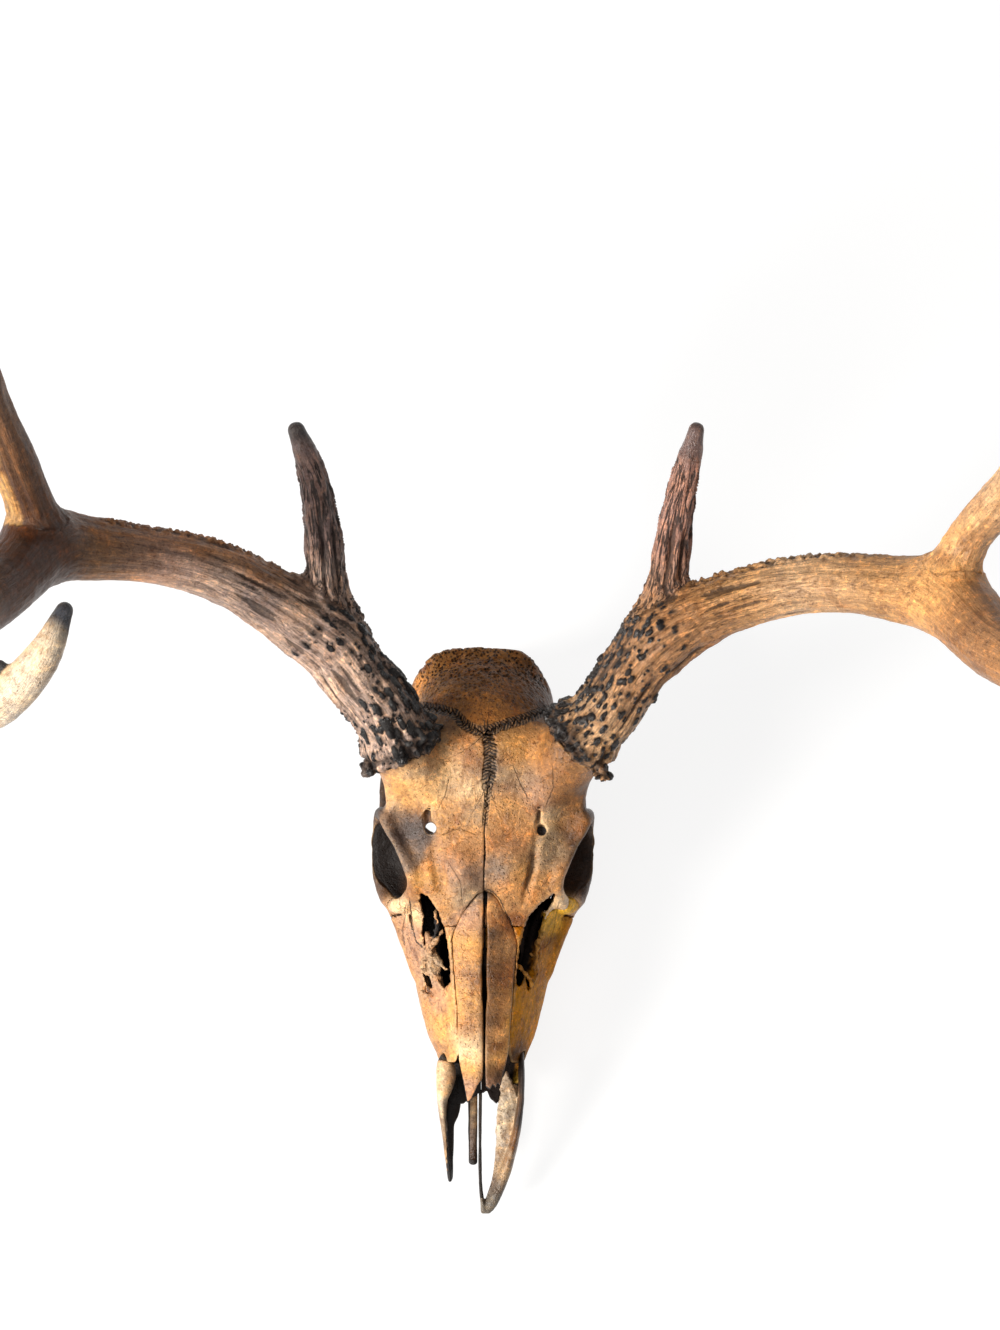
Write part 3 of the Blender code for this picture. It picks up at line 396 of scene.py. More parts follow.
class Block:
    """An even grid of points, and the distance to the bone at each of them."""

    def __init__(self, low, high, step):
        self.step = step
        self.axes = [np.arange(a, b + step, step, dtype=np.float32) for a, b in zip(low, high)]
        self.field = np.full([len(axis) for axis in self.axes], FAR, np.float32)

    @property
    def low(self):
        return np.array([axis[0] for axis in self.axes], dtype=float)

    def window(self, low, high):
        """The slices of the grid that cover a box."""
        cut = []
        for axis, a, b in zip(self.axes, low, high):
            first = int(np.clip(math.floor((a - axis[0]) / self.step), 0, len(axis) - 2))
            last = int(np.clip(math.ceil((b - axis[0]) / self.step) + 1, first + 2, len(axis)))
            cut.append(slice(first, last))
        return tuple(cut)

    def places(self, cut=(slice(None),) * 3):
        """x, s and z of the points of a window, each along its own axis."""
        return np.ix_(*[axis[c] for axis, c in zip(self.axes, cut)])

    def melt(self, shape, blend=0.01):
        """Add a shape, rounded in where the two meet."""
        cut, distance = shape
        self.field[cut] = smooth_min(self.field[cut], distance, blend)

    def carve(self, shape, blend=0.01, outside=False):
        """Take a shape away: the higher of the distance and minus the shape's.  If the
        outside of the skull changes with it, so does the whole form."""
        cut, distance = shape
        self.field[cut] = smooth_max(self.field[cut], -distance, blend)
        if outside:
            self.full[cut] = smooth_max(self.full[cut], -distance, blend)

    def even_out(self):
        """Divide by the slope of the field, so that it is close to a true distance again."""
        slope = np.zeros_like(self.field)
        for axis in range(3):
            slope += np.gradient(self.field, self.step, axis=axis) ** 2
        self.field /= np.clip(np.sqrt(slope), 0.6, 2.0)

    def sweep(self, rows, reach=6.0):
        """A bar with (x, s, z, radius) or (x, s, z, half-width, half-height) rows: the offset
        from the nearest point of each short straight length, less the radius there.  In an
        oval bar the radius is the offset over its share of the oval's edge."""
        girth = rows[:, 3:].max() + reach
        cut = self.window(rows[:, :3].min(axis=0) - girth, rows[:, :3].max(axis=0) + girth)
        near = np.full(self.field[cut].shape, FAR, np.float32)
        for a, b in zip(rows, rows[1:]):
            margin = max(a[3:].max(), b[3:].max()) + reach
            inner = self.window(np.minimum(a, b)[:3] - margin, np.maximum(a, b)[:3] + margin)
            x, s, z = self.places(inner)
            ahead = b[:3] - a[:3]
            x, s, z = x - a[0], s - a[1], z - a[2]
            t = np.clip((x * ahead[0] + s * ahead[1] + z * ahead[2]) / (ahead @ ahead), 0, 1)
            x, s, z = x - t * ahead[0], s - t * ahead[1], z - t * ahead[2]
            out = np.sqrt(x * x + s * s + z * z)
            if len(a) == 4:
                distance = out - (a[3] + t * (b[3] - a[3]))
            else:
                ahead = ahead / np.linalg.norm(ahead)
                across = np.cross(ahead, (0.0, 0.0, 1.0))
                across /= np.linalg.norm(across)
                up = np.cross(across, ahead)
                width, height = a[3] + t * (b[3] - a[3]), a[4] + t * (b[4] - a[4])
                u = x * across[0] + s * across[1] + z * across[2]
                v = x * up[0] + s * up[1] + z * up[2]
                w = np.maximum(out * out - u * u - v * v, 0.0) / np.minimum(width, height) ** 2
                share = np.sqrt((u / width) ** 2 + (v / height) ** 2 + w)
                distance = out - out / np.maximum(share, 0.05)
            local = tuple(slice(i.start - c.start, i.stop - c.start) for i, c in zip(inner, cut))
            near[local] = np.minimum(near[local], distance)
        return cut, near

    def ball(self, centre, radii, turn=0.0, reach=6.0):
        """An ellipsoid: share * (share - 1) / steepness, where share is the length of the
        offset over the radii and steepness its length over the radii squared."""
        span = max(radii) + reach
        cut = self.window([c - span for c in centre], [c + span for c in centre])
        x, s, z = self.places(cut)
        x, s, z = x - centre[0], s - centre[1], z - centre[2]
        u = math.cos(turn) * x + math.sin(turn) * s
        v = math.cos(turn) * s - math.sin(turn) * x
        share = np.sqrt((u / radii[0]) ** 2 + (v / radii[1]) ** 2 + (z / radii[2]) ** 2)
        steep = np.sqrt((u / radii[0] ** 2) ** 2 + (v / radii[1] ** 2) ** 2
                        + (z / radii[2] ** 2) ** 2)
        return cut, share * (share - 1.0) / np.maximum(steep, 1e-4)

    def full_form(self, rows, power):
        """A form with rounded cross-sections: offset * (1 - 1 / q), where q is the power
        mean of the offset over the half-width and half-height of the section at s."""
        cut = self.window((-70, rows[0][0] - 9, -5), (70, rows[-1][0] + 9, 140))
        x, s, z = self.places(cut)
        table = rows_for(rows, s.ravel())[:, :, None]
        width, low, high = [table[:, k][None] for k in (1, 2, 3)]
        u, v = np.abs(x), np.abs(z - (low + high) / 2)
        q = ((u / width) ** power + (v / ((high - low) / 2)) ** power) ** (1 / power)
        distance = np.sqrt(u * u + v * v) * (1 - 1 / np.maximum(q, 0.05))
        return cut, capped(distance, rows, s)


def outline_distance(u, v, outline):
    """Distance in a plane to the nearest side of a closed outline, below 0 inside it: a
    point is inside if a line from it crosses the outline an odd number of times."""
    best = np.full(np.broadcast(u, v).shape, 1e9, np.float32)
    inside = np.zeros(best.shape, bool)
    points = np.asarray(outline, dtype=float)
    for (a, b), (c, d) in zip(points, np.roll(points, -1, axis=0)):
        along, up = c - a, d - b
        t = np.clip(((u - a) * along + (v - b) * up) / (along ** 2 + up ** 2 + 1e-9), 0, 1)
        best = np.minimum(best, (u - a - t * along) ** 2 + (v - b - t * up) ** 2)
        if d != b:
            inside ^= ((b > v) != (d > v)) & (u < a + along * (v - b) / up)
    return np.where(inside, -1, 1) * np.sqrt(best)


def face_outline(row):
    """Half of the snout's cross-section in (x, z), closed along the middle."""
    roof, roof_half, drop, cheek_half, cheek, floor_half, floor = row[1:]
    half = [
        (roof_half * 0.65, roof - drop * 0.25), (roof_half, roof - drop),
        ((roof_half + cheek_half) / 2 + 1.0, (roof - drop + cheek) / 2 + 2.0),
        (cheek_half, cheek),
        ((cheek_half + floor_half) / 2 + 1.0, (cheek + floor) / 2 - 2.0),
        (floor_half, floor), (floor_half * 0.5, floor + VAULT * 0.7),
    ]
    mirrored = [(-x, z) for x, z in reversed(half)]
    return smooth_rows([(0.0, roof)] + half + [(0.0, floor + VAULT)] + mirrored, 3, closed=True)


# --- Noise --------------------------------------------------------------------
def scatter(cells, seed):
    """A number from 0 to 1 for each whole-number cell, mixed from its three counts."""
    n = cells[..., 0] * 73856093 ^ cells[..., 1] * 19349663 ^ cells[..., 2] * 83492791
    n = (n ^ (seed * 2654435761)) & 0xffffffff
    n = ((n ^ (n >> 15)) * 2246822519) & 0xffffffff
    n = ((n ^ (n >> 13)) * 3266489917) & 0xffffffff
    return ((n ^ (n >> 16)) & 0xffffff) / 16777215.0


def noise(points, seed=1):
    """Smooth noise from -1 to 1: the numbers of the eight cells round a point, mixed by
    the eased place of the point between them."""
    base = np.floor(points).astype(np.int64)
    t = points - base
    t = t * t * t * (t * (t * 6 - 15) + 10)
    total = np.zeros(len(points))
    for corner in range(8):
        step = np.array([corner & 1, corner >> 1 & 1, corner >> 2 & 1])
        total += np.prod(np.where(step, t, 1 - t), axis=1) * scatter(base + step, seed)
    return total * 2 - 1


def layered(points, size, layers=3, seed=1):
    """Noise of a size in millimetres, plus half as much at half the size, and so on."""
    total = np.zeros(len(points))
    for k in range(layers):
        total += noise(points * (2 ** k / size) + 17.3 * k, seed + k) / 2 ** k
    return total / (2 - 2 ** (1 - layers))


def beads(points, seed=1):
    """Distance to the nearest of one point set at random in each cell, and that cell's
    own number from 0 to 1."""
    base = np.floor(points).astype(np.int64)
    best = np.full(len(points), 9.0)
    label = np.zeros(len(points))
    for k in range(27):
        cell = base + np.array([k % 3 - 1, k // 3 % 3 - 1, k // 9 - 1])
        heart = cell + np.stack([scatter(cell, seed + 10 * m) for m in range(3)], axis=1)
        distance = np.sum((points - heart) ** 2, axis=1)
        nearer = distance < best
        best = np.where(nearer, distance, best)
        label = np.where(nearer, scatter(cell, seed + 77), label)
    return np.sqrt(best), label


def ease(value, low, high):
    """0 below low, 1 above high, and a smooth rise between them."""
    t = np.clip((value - low) / (high - low), 0.0, 1.0)
    return t * t * (3 - 2 * t)


# --- Skin over a block --------------------------------------------------------
def sample(field, low, step, points):
    """The field at any place: the eight grid values round it, mixed by nearness."""
    at = np.clip((points - low) / step, 0, np.array(field.shape) - 1.001)
    base = at.astype(np.int64)
    t = at - base
    total = np.zeros(len(points))
    for corner in range(8):
        step3 = np.array([corner & 1, corner >> 1 & 1, corner >> 2 & 1])
        i, j, k = (base + step3).T
        total += np.prod(np.where(step3, t, 1 - t), axis=1) * field[i, j, k]
    return total


def slope_of(field, low, step, points):
    """Direction in which the field rises at each place, of length 1."""
    out = np.column_stack([sample(field, low, step, points + shift)
                           - sample(field, low, step, points - shift)
                           for shift in step * 0.6 * np.eye(3)])
    return out / np.maximum(np.linalg.norm(out, axis=1), 1e-9)[:, None]


def skin(field, low, step):
    """Points and four-sided faces of the surface where the field is 0.  Each cell that it
    passes through gets one point, at the mean of where it crosses the cell's edges, and
    each grid edge that it crosses gets a face through the four cells round that edge.  The
    points are then evened out and set back onto the surface."""
    inside = field < 0
    corners = [(i, j, k) for i in (0, 1) for j in (0, 1) for k in (0, 1)]
    n = np.array(field.shape) - 1
    count = np.zeros(n, np.uint8)
    for i, j, k in corners:
        count += inside[i:n[0] + i, j:n[1] + j, k:n[2] + k]
    active = (count > 0) & (count < 8)
    cells = np.argwhere(active)
    index = np.full(active.shape, -1, np.int64)
    index[active] = np.arange(len(cells))
    value = {c: field[tuple((cells + c).T)] for c in corners}
    total = np.zeros((len(cells), 3))
    hits = np.zeros(len(cells))
    for p in corners:
        for axis in range(3):
            if p[axis]:
                continue
            q = tuple(1 if m == axis else p[m] for m in range(3))
            a, b = value[p], value[q]
            hit = (a < 0) != (b < 0)
            t = np.where(hit, a / np.where(hit, a - b, 1.0), 0.0)
            place = np.array(p, float)[None] + t[:, None] * np.eye(3)[axis]
            total += place * hit[:, None]
            hits += hit
    points = low + step * (cells + total / hits[:, None])
    faces = []
    for axis in range(3):
        u, v = (axis + 1) % 3, (axis + 2) % 3
        lower = [slice(1, -1)] * 3
        upper = [slice(1, -1)] * 3
        lower[axis], upper[axis] = slice(0, -1), slice(1, None)
        a, b = inside[tuple(lower)], inside[tuple(upper)]
        at = np.argwhere(a != b)
        outward = a[tuple(at.T)]
        at[:, u] += 1
        at[:, v] += 1
        ring = []
        for du, dv in ((-1, -1), (0, -1), (0, 0), (-1, 0)):
            cell = at.copy()
            cell[:, u] += du
            cell[:, v] += dv
            ring.append(index[tuple(cell.T)])
        ring = np.column_stack(ring)
        faces.append(np.where(outward[:, None], ring, ring[:, ::-1]))
    faces = np.vstack(faces)
    points, faces = largest(points, faces)
    for _ in range(2):
        points = points + 0.5 * (mean_of_neighbours(points, faces) - points)
        miss = sample(field, low, step, points)
        reach = np.clip(miss, -0.4 * step, 0.4 * step)
        points = points - reach[:, None] * slope_of(field, low, step, points)
    return points, faces


def mean_of_neighbours(points, faces):
    """For each point, the mean of the points next to it along the faces' sides."""
    a = np.concatenate([faces[:, k] for k in range(4)])
    b = np.concatenate([faces[:, (k + 1) % 4] for k in range(4)])
    count = np.bincount(a, minlength=len(points)) + np.bincount(b, minlength=len(points))
    out = [np.bincount(a, points[b, m], len(points)) + np.bincount(b, points[a, m], len(points))
           for m in range(3)]
    return np.column_stack(out) / np.maximum(count, 1)[:, None]


def largest(points, faces):
    """Only the largest island: each point takes the lowest label among its neighbours,
    and labels of labels, until none changes."""
    label = np.arange(len(points))
    a = faces.ravel()
    b = np.roll(faces, 1, axis=1).ravel()
    while True:
        before = label.copy()
        low = np.minimum(label[a], label[b])
        np.minimum.at(label, a, low)
        np.minimum.at(label, b, low)
        label = label[label]
        if np.array_equal(before, label):
            break
    keep = label == np.bincount(label).argmax()
    number = np.cumsum(keep) - 1
    return points[keep], number[faces[keep[faces[:, 0]]]]


def normals_of(points, faces):
    """Direction out of the surface at each point: the sum over its faces of the cross
    product of the face's two diagonals."""
    across = points[faces[:, 2]] - points[faces[:, 0]]
    along = points[faces[:, 3]] - points[faces[:, 1]]
    cross = np.cross(across, along)
    out = [sum(np.bincount(faces[:, k], cross[:, m], len(points)) for k in range(4))
           for m in range(3)]
    out = np.column_stack(out)
    return out / np.maximum(np.linalg.norm(out, axis=1), 1e-9)[:, None]


def blurred(field, radius):
    """Mean over a box that reaches `radius` grid steps each way, one axis at a time."""
    out = field.astype(np.float32)
    for axis in range(3):
        pad = [(radius + 1, radius) if m == axis else (0, 0) for m in range(3)]
        sums = np.cumsum(np.pad(out, pad, mode="edge"), axis=axis, dtype=np.float64)
        n = out.shape[axis]
        high = np.take(sums, np.arange(n) + 2 * radius + 1, axis=axis)
        lower = np.take(sums, np.arange(n), axis=axis)
        out = ((high - lower) / (2 * radius + 1)).astype(np.float32)
    return out


def surface(field, low, step):
    """Points and faces of the bone that a field holds."""
    piece, start = trimmed(field, low, step)
    return skin(piece, start, step)


def raised(points, faces, height):
    """The points moved out along their normals, each by its own height."""
    return points + height[:, None] * normals_of(points, faces)


def make_piece(name, points, faces, material, nodes, values):
    """An object from points in skull millimetres, with one number or colour per point for
    each name in `values`, riding on the root body in place of its CAD nodes."""
    mesh = bpy.data.meshes.new(name)
    place = (np.asarray(points) - (0.0, ORIGIN_BACK, 0.0)) * MM
    place = np.clip(place, cad_low, cad_high)
    mesh.vertices.add(len(place))
    mesh.vertices.foreach_set("co", place.astype(np.float32).ravel())
    mesh.loops.add(faces.size)
    mesh.loops.foreach_set("vertex_index", faces.astype(np.int32).ravel())
    mesh.polygons.add(len(faces))
    mesh.polygons.foreach_set("loop_start", np.arange(0, faces.size, 4, dtype=np.int32))
    mesh.update(calc_edges=True)
    mesh.validate()
    mesh.shade_smooth()
    for key, value in values.items():
        value = np.asarray(value, dtype=np.float32)
        if value.ndim == 1:
            layer = mesh.attributes.new(key, 'FLOAT', 'POINT')
            layer.data.foreach_set("value", value)
        elif key == "tint":
            layer = mesh.attributes.new(key, 'FLOAT_COLOR', 'POINT')
            solid = np.column_stack([value, np.ones(len(value))])
            layer.data.foreach_set("color", solid.astype(np.float32).ravel())
        else:
            layer = mesh.attributes.new(key, 'FLOAT_VECTOR', 'POINT')
            layer.data.foreach_set("vector", value.ravel())
    piece = bpy.data.objects.new(name, mesh)
    bpy.context.scene.collection.objects.link(piece)
    mesh.materials.append(material)
    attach(piece, "root")
    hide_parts(*nodes)
    return piece


# --- The skull as one block ---------------------------------------------------
def zigzag(t):
    """A sharp wave from -1 to 1 with a period of 1."""
    return 4 * np.abs(t - np.floor(t + 0.5)) - 1


def add_face(half):
    """The snout: for each s of the grid, the distance to that cross-section's outline."""
    cut = half.window((0, FACE[0][0] - 9, 3), (56, FACE[-1][0] + 9, 112))
    x, s, z = half.places(cut)
    distance = np.empty(half.field[cut].shape, np.float32)
    for k, row in enumerate(rows_for(FACE, s.ravel())):
        distance[:, k, :] = outline_distance(x[:, 0, :], z[:, 0, :], face_outline(row))
    half.melt((cut, capped(distance, FACE, s)))


def add_forehead(half):
    """The forehead plate: between a roof and an underside that both fall away with the
    distance from the middle, and within its half-width."""
    cut = half.window((0, FOREHEAD[0][0] - 9, 62), (66, FOREHEAD[-1][0] + 9, 134))
    x, s, z = half.places(cut)
    table = rows_for(FOREHEAD, s.ravel())
    roof, width, drop, thick = [table[:, k][None, :, None] for k in (1, 2, 3, 4)]
    t = np.abs(x) / width
    top = z - (roof - drop * t ** 2.2)
    bottom = (roof - thick - drop * 0.8 * t * t) - z
    distance = smooth_max(smooth_max(top, bottom, 3.0), x - width, 3.0)
    half.melt((cut, capped(distance, FOREHEAD, s)), 7.0)


def skull_half():
    """The left half of the skull, the same on both sides, with x from 0.  Beside the bone
    it holds three more fields: `full`, the form before it is hollowed, `nose`, the cavity
    of the nose, and `socket`, that of the eye."""
    half = Block((0.0, -3.0, -4.5), (66.0, 306.0, 135.0), BONE_STEP)
    add_face(half)
    half.melt(half.full_form(BRAINCASE, 2.4), 4.0)
    half.melt(half.full_form(MIDDLE, 2.8), 5.0)
    add_forehead(half)
    half.melt(half.sweep(smooth_rows(BASE_BAR)), 5.0)
    half.melt(half.sweep(smooth_rows(PEDICLE)), 7.0)
    half.melt(half.sweep(smooth_rows(NUCHAL_CREST), 12.0), 10.0)
    half.melt(half.sweep(smooth_rows(PARACONDYLAR)), 3.0)
    for centre, radii in KNOBS:
        half.melt(half.ball(centre, radii), 4.0)
    half.even_out()
    half.full = half.field.copy()
    cavity = half.full_form(NOSE_CAVITY, 2.6)
    half.carve(cavity, 1.5)
    half.nose = np.full(half.field.shape, FAR, np.float32)
    half.nose[cavity[0]] = cavity[1]
    half.carve(half.ball(*ORBIT), 2.0)
    _, s, z = half.places()
    front = np.maximum(s - NOSE_MOUTH_BACK + NOSE_MOUTH_LEAN * (z - 50.0), NOSE_MOUTH_FLOOR - z)
    half.field = np.maximum(half.field, -front).astype(np.float32)
    rim = smooth_rows(ORBIT_RIM, closed=True)
    half.melt(half.sweep(np.vstack([rim, rim[:1]])), 4.0)
    half.melt(half.sweep(smooth_rows(CHEEK_BAR)), 5.0)
    half.melt(half.sweep(smooth_rows(ARCH)), 3.0)
    half.melt(half.sweep(smooth_rows(PTERYGOID)), 2.0)
    line_socket(half)
    for centre, radii, rounding in HOLES:
        half.carve(half.ball(centre, radii), rounding)
    add_teeth(half)
    return half


def line_socket(half):
    """The lining of the eye socket: a ball is cleared, and a thin wall of the same shape is
    set in it, open outwards past a leaning plane and above z = 87."""
    (x0, s0, z0), radii = ORBIT
    hole = half.ball((x0 + 3.0, s0, z0), [r - 2.2 for r in radii])
    half.carve(hole, 1.2)
    cut, distance = half.ball((x0 + 1.5, s0, z0), [r - 1.0 for r in radii])
    x, s, z = half.places(cut)
    opening = x - 48.3 - 0.3 * (s - s0) + 0.33 * (z - 72.0)
    wall = np.maximum(np.abs(distance) - 1.1, np.maximum(opening, z - 87.0))
    half.melt((cut, wall), 1.2)
    half.socket = np.full(half.field.shape, FAR, np.float32)
    half.socket[hole[0]] = hole[1]


def add_teeth(half):
    """Six cheek teeth: each a column on a rounded plan that narrows to its worn face, with
    a cleft between its two lobes outside and a crescent pit in each lobe."""
    front = TOOTH_ROW_FRONT
    for number, (back, width, outer) in enumerate(TEETH):
        end = back - 0.8
        cx, cs = outer - width / 2, (front + end) / 2
        hx, hs = width / 2, (end - front) / 2
        cut = half.window((outer - width - 3, front - 3, -1), (outer + 3, end + 3, 22))
        x, s, z = half.places(cut)
        neck = 0.86 + 0.14 * np.clip(z / 5.0, 0, 1)
        lobes = [0.0] if number < 3 else [-0.47, 0.47]
        body = None
        for lobe in lobes:
            reach_s = hs * (0.98 if number < 3 else 0.56)
            u = np.abs(x - cx) / (hx * neck)
            v = np.abs(s - cs - lobe * hs) / (reach_s * neck)
            q = (u ** 3.0 + v ** 3.0) ** (1 / 3.0)
            shape = (q - 1.0) * min(hx, reach_s)
            body = shape if body is None else smooth_min(body, shape, 0.6)
        column = smooth_max(body, np.maximum(-z, z - 20.5), 0.6)
        half.melt((cut, column), 0.8)
        for lobe in lobes:
            centre = (cx + hx * 0.05, cs + lobe * hs, 0.0)
            half.carve(half.ball(centre, (hx * 0.42, hs * 0.25 + 0.8, 2.2), reach=2.0), 0.4)
            half.melt(half.ball((cx + hx * 0.2, cs + lobe * hs, 1.4),
                                (hx * 0.2, hs * 0.14 + 0.5, 1.3), reach=1.0), 0.3)
        front = back


def whole_skull():
    """Both halves, and what differs between the sides."""
    half = skull_half()
    low = (-half.axes[0][-1], half.axes[1][0], half.axes[2][0])
    whole = Block(low, (half.axes[0][-1], half.axes[1][-1], half.axes[2][-1]), BONE_STEP)
    whole.axes[0] = np.concatenate([-half.axes[0][:0:-1], half.axes[0]])
    whole.axes[1], whole.axes[2] = half.axes[1], half.axes[2]
    for name in ("field", "full", "socket", "nose"):
        part = getattr(half, name)
        setattr(whole, name, np.concatenate([part[:0:-1], part]))
    whole.plates = np.full(whole.field.shape, FAR, np.float32)
    for side in (-1, 1):
        shape_brow(whole, side)
        rows = PREMAXILLA_SIDE if side > 0 else PREMAXILLA_BROKEN
        socket = smooth_rows(on_side(rows, side), 2)
        socket[:, 3:] += GAP
        whole.carve(whole.sweep(socket))
        beam = BEAM_LEFT if side > 0 else BEAM_RIGHT
        core = smooth_rows(on_side(beam[:4], side), 5)[:13]
        core[:, 3] += GAP
        cut, distance = whole.sweep(core)
        distance = np.maximum(distance, -GAP - ahead_of(whole.places(cut), core))
        whole.carve((cut, distance))
    carve_openings(whole)
    carve_nasal_bed(whole)
    add_ethmoid(whole)
    cut = whole.window((-14, 50, 5), (21, 80, 34))
    x, s, z = whole.places(cut)
    ahead = s - np.interp(x, *np.transpose(PALATE_FRONT)) + 0.5 * np.sin(x * 1.7)
    whole.carve((cut, np.maximum(ahead, z - 34.0)), 0.6)
    x, s, z = whole.places()
    whole.field = np.maximum(whole.field, -z)
    return whole


def on_forehead(rows, side):
    """Rows (x, s, height over the forehead, radius) with that height turned into z."""
    out = on_side(rows, side)
    table = rows_for(FOREHEAD, out[:, 1])
    out[:, 2] += table[:, 1] - table[:, 3] * np.abs(out[:, 0] / table[:, 2]) ** 2.2
    return out


def shape_brow(whole, side):
    """The domed forehead beside the middle, the furrow and slit that lead to the hole over
    the eye, and the hollow between the hole and the rim of the orbit."""
    whole.melt(whole.ball((12.5 * side, 180.0, 82.6), (15.0, 24.0, 18.0), -0.12 * side), 2.5)
    furrow = smooth_rows(on_forehead(BROW_FURROW[side], side))
    whole.carve(whole.sweep(furrow), 2.4, outside=True)
    slit = smooth_rows(on_forehead(BROW_SLIT[side], side))
    whole.carve(whole.sweep(slit), 0.6)
    hollow = on_forehead([BROW_HOLLOW], side)[0, :3]
    whole.carve(whole.ball(hollow, (11.0, 19.0, 14.0), -0.3 * side, reach=9.0), 5.0, outside=True)
    x, s = FORAMEN
    column = [(x * side + SIGHT[0] * (z - FORAMEN_LEVEL), s + SIGHT[1] * (z - FORAMEN_LEVEL), z,
               FORAMEN_RADIUS) for z in (FORAMEN_BOTTOM[side], 118.0)]
    whole.carve(whole.sweep(np.array(column)), 0.8)
    if side < 0:
        whole.carve(whole.ball(*TEAR_SLOT), 0.8)


def ahead_of(places, path):
    """How far places are past the flat start of a path."""
    x, s, z = places
    ahead = path[1, :3] - path[0, :3]
    ahead /= np.linalg.norm(ahead)
    return (x - path[0, 0]) * ahead[0] + (s - path[0, 1]) * ahead[1] + (z - path[0, 2]) * ahead[2]


def nasal_top(x, s):
    """Height of the nasal bones: the ridge line, less a fall with the square of x."""
    fine = smooth_rows(NASAL, 6)
    width = np.interp(s, fine[:, 0], fine[:, 1])
    ridge = np.interp(s, fine[:, 0], fine[:, 2])
    return ridge - NASAL_DROP / NASAL_ROUND * np.abs(x) ** 2 / np.maximum(width, 8.0)


def carve_openings(whole):
    """The two openings before the eyes: everything inside their outlines above a floor, with
    walls that lean with the line of sight."""
    for outline, low_x, high_x in ((OPENING_RIGHT, -40, -12), (OPENING_LEFT, 12, 44)):
        cut = whole.window((low_x, 104, 44), (high_x, 176, 108))
        x, s, z = whole.places(cut)
        u, v = x - SIGHT[0] * (z - OPENING_LEVEL), s - SIGHT[1] * (z - OPENING_LEVEL)
        ragged = 0.5 * np.sin(u * 2.1 + z * 0.5) * np.sin(v * 1.3 - z * 0.4)
        distance = outline_distance(u, v, outline) + ragged
        whole.carve((cut, np.maximum(distance, OPENING_FLOOR - z)), 0.8)


def carve_nasal_bed(whole):
    """Room for the two nasal bones: all that is over their underside, inside their outline."""
    right = [(x, s) for x, s in NASAL_RIGHT_PLAN if x < -2]
    left = [(x, s) for x, s in NASAL_LEFT_PLAN if x > 2]
    plan = [(0.0, 162.8)] + left + [(0.0, 60.0)] + right
    cut = whole.window((-24, 50, 50), (24, 170, 100))
    x, s, z = whole.places(cut)
    gap = GAP - 0.26 * ease(s, 138.0, 146.0)
    edge = outline_distance(x[:, :, 0], s[:, :, 0], plan)[:, :, None] - gap
    floor = nasal_top(x, s) - NASAL_THICKNESS - GAP - z
    whole.carve((cut, np.maximum(edge, floor)))


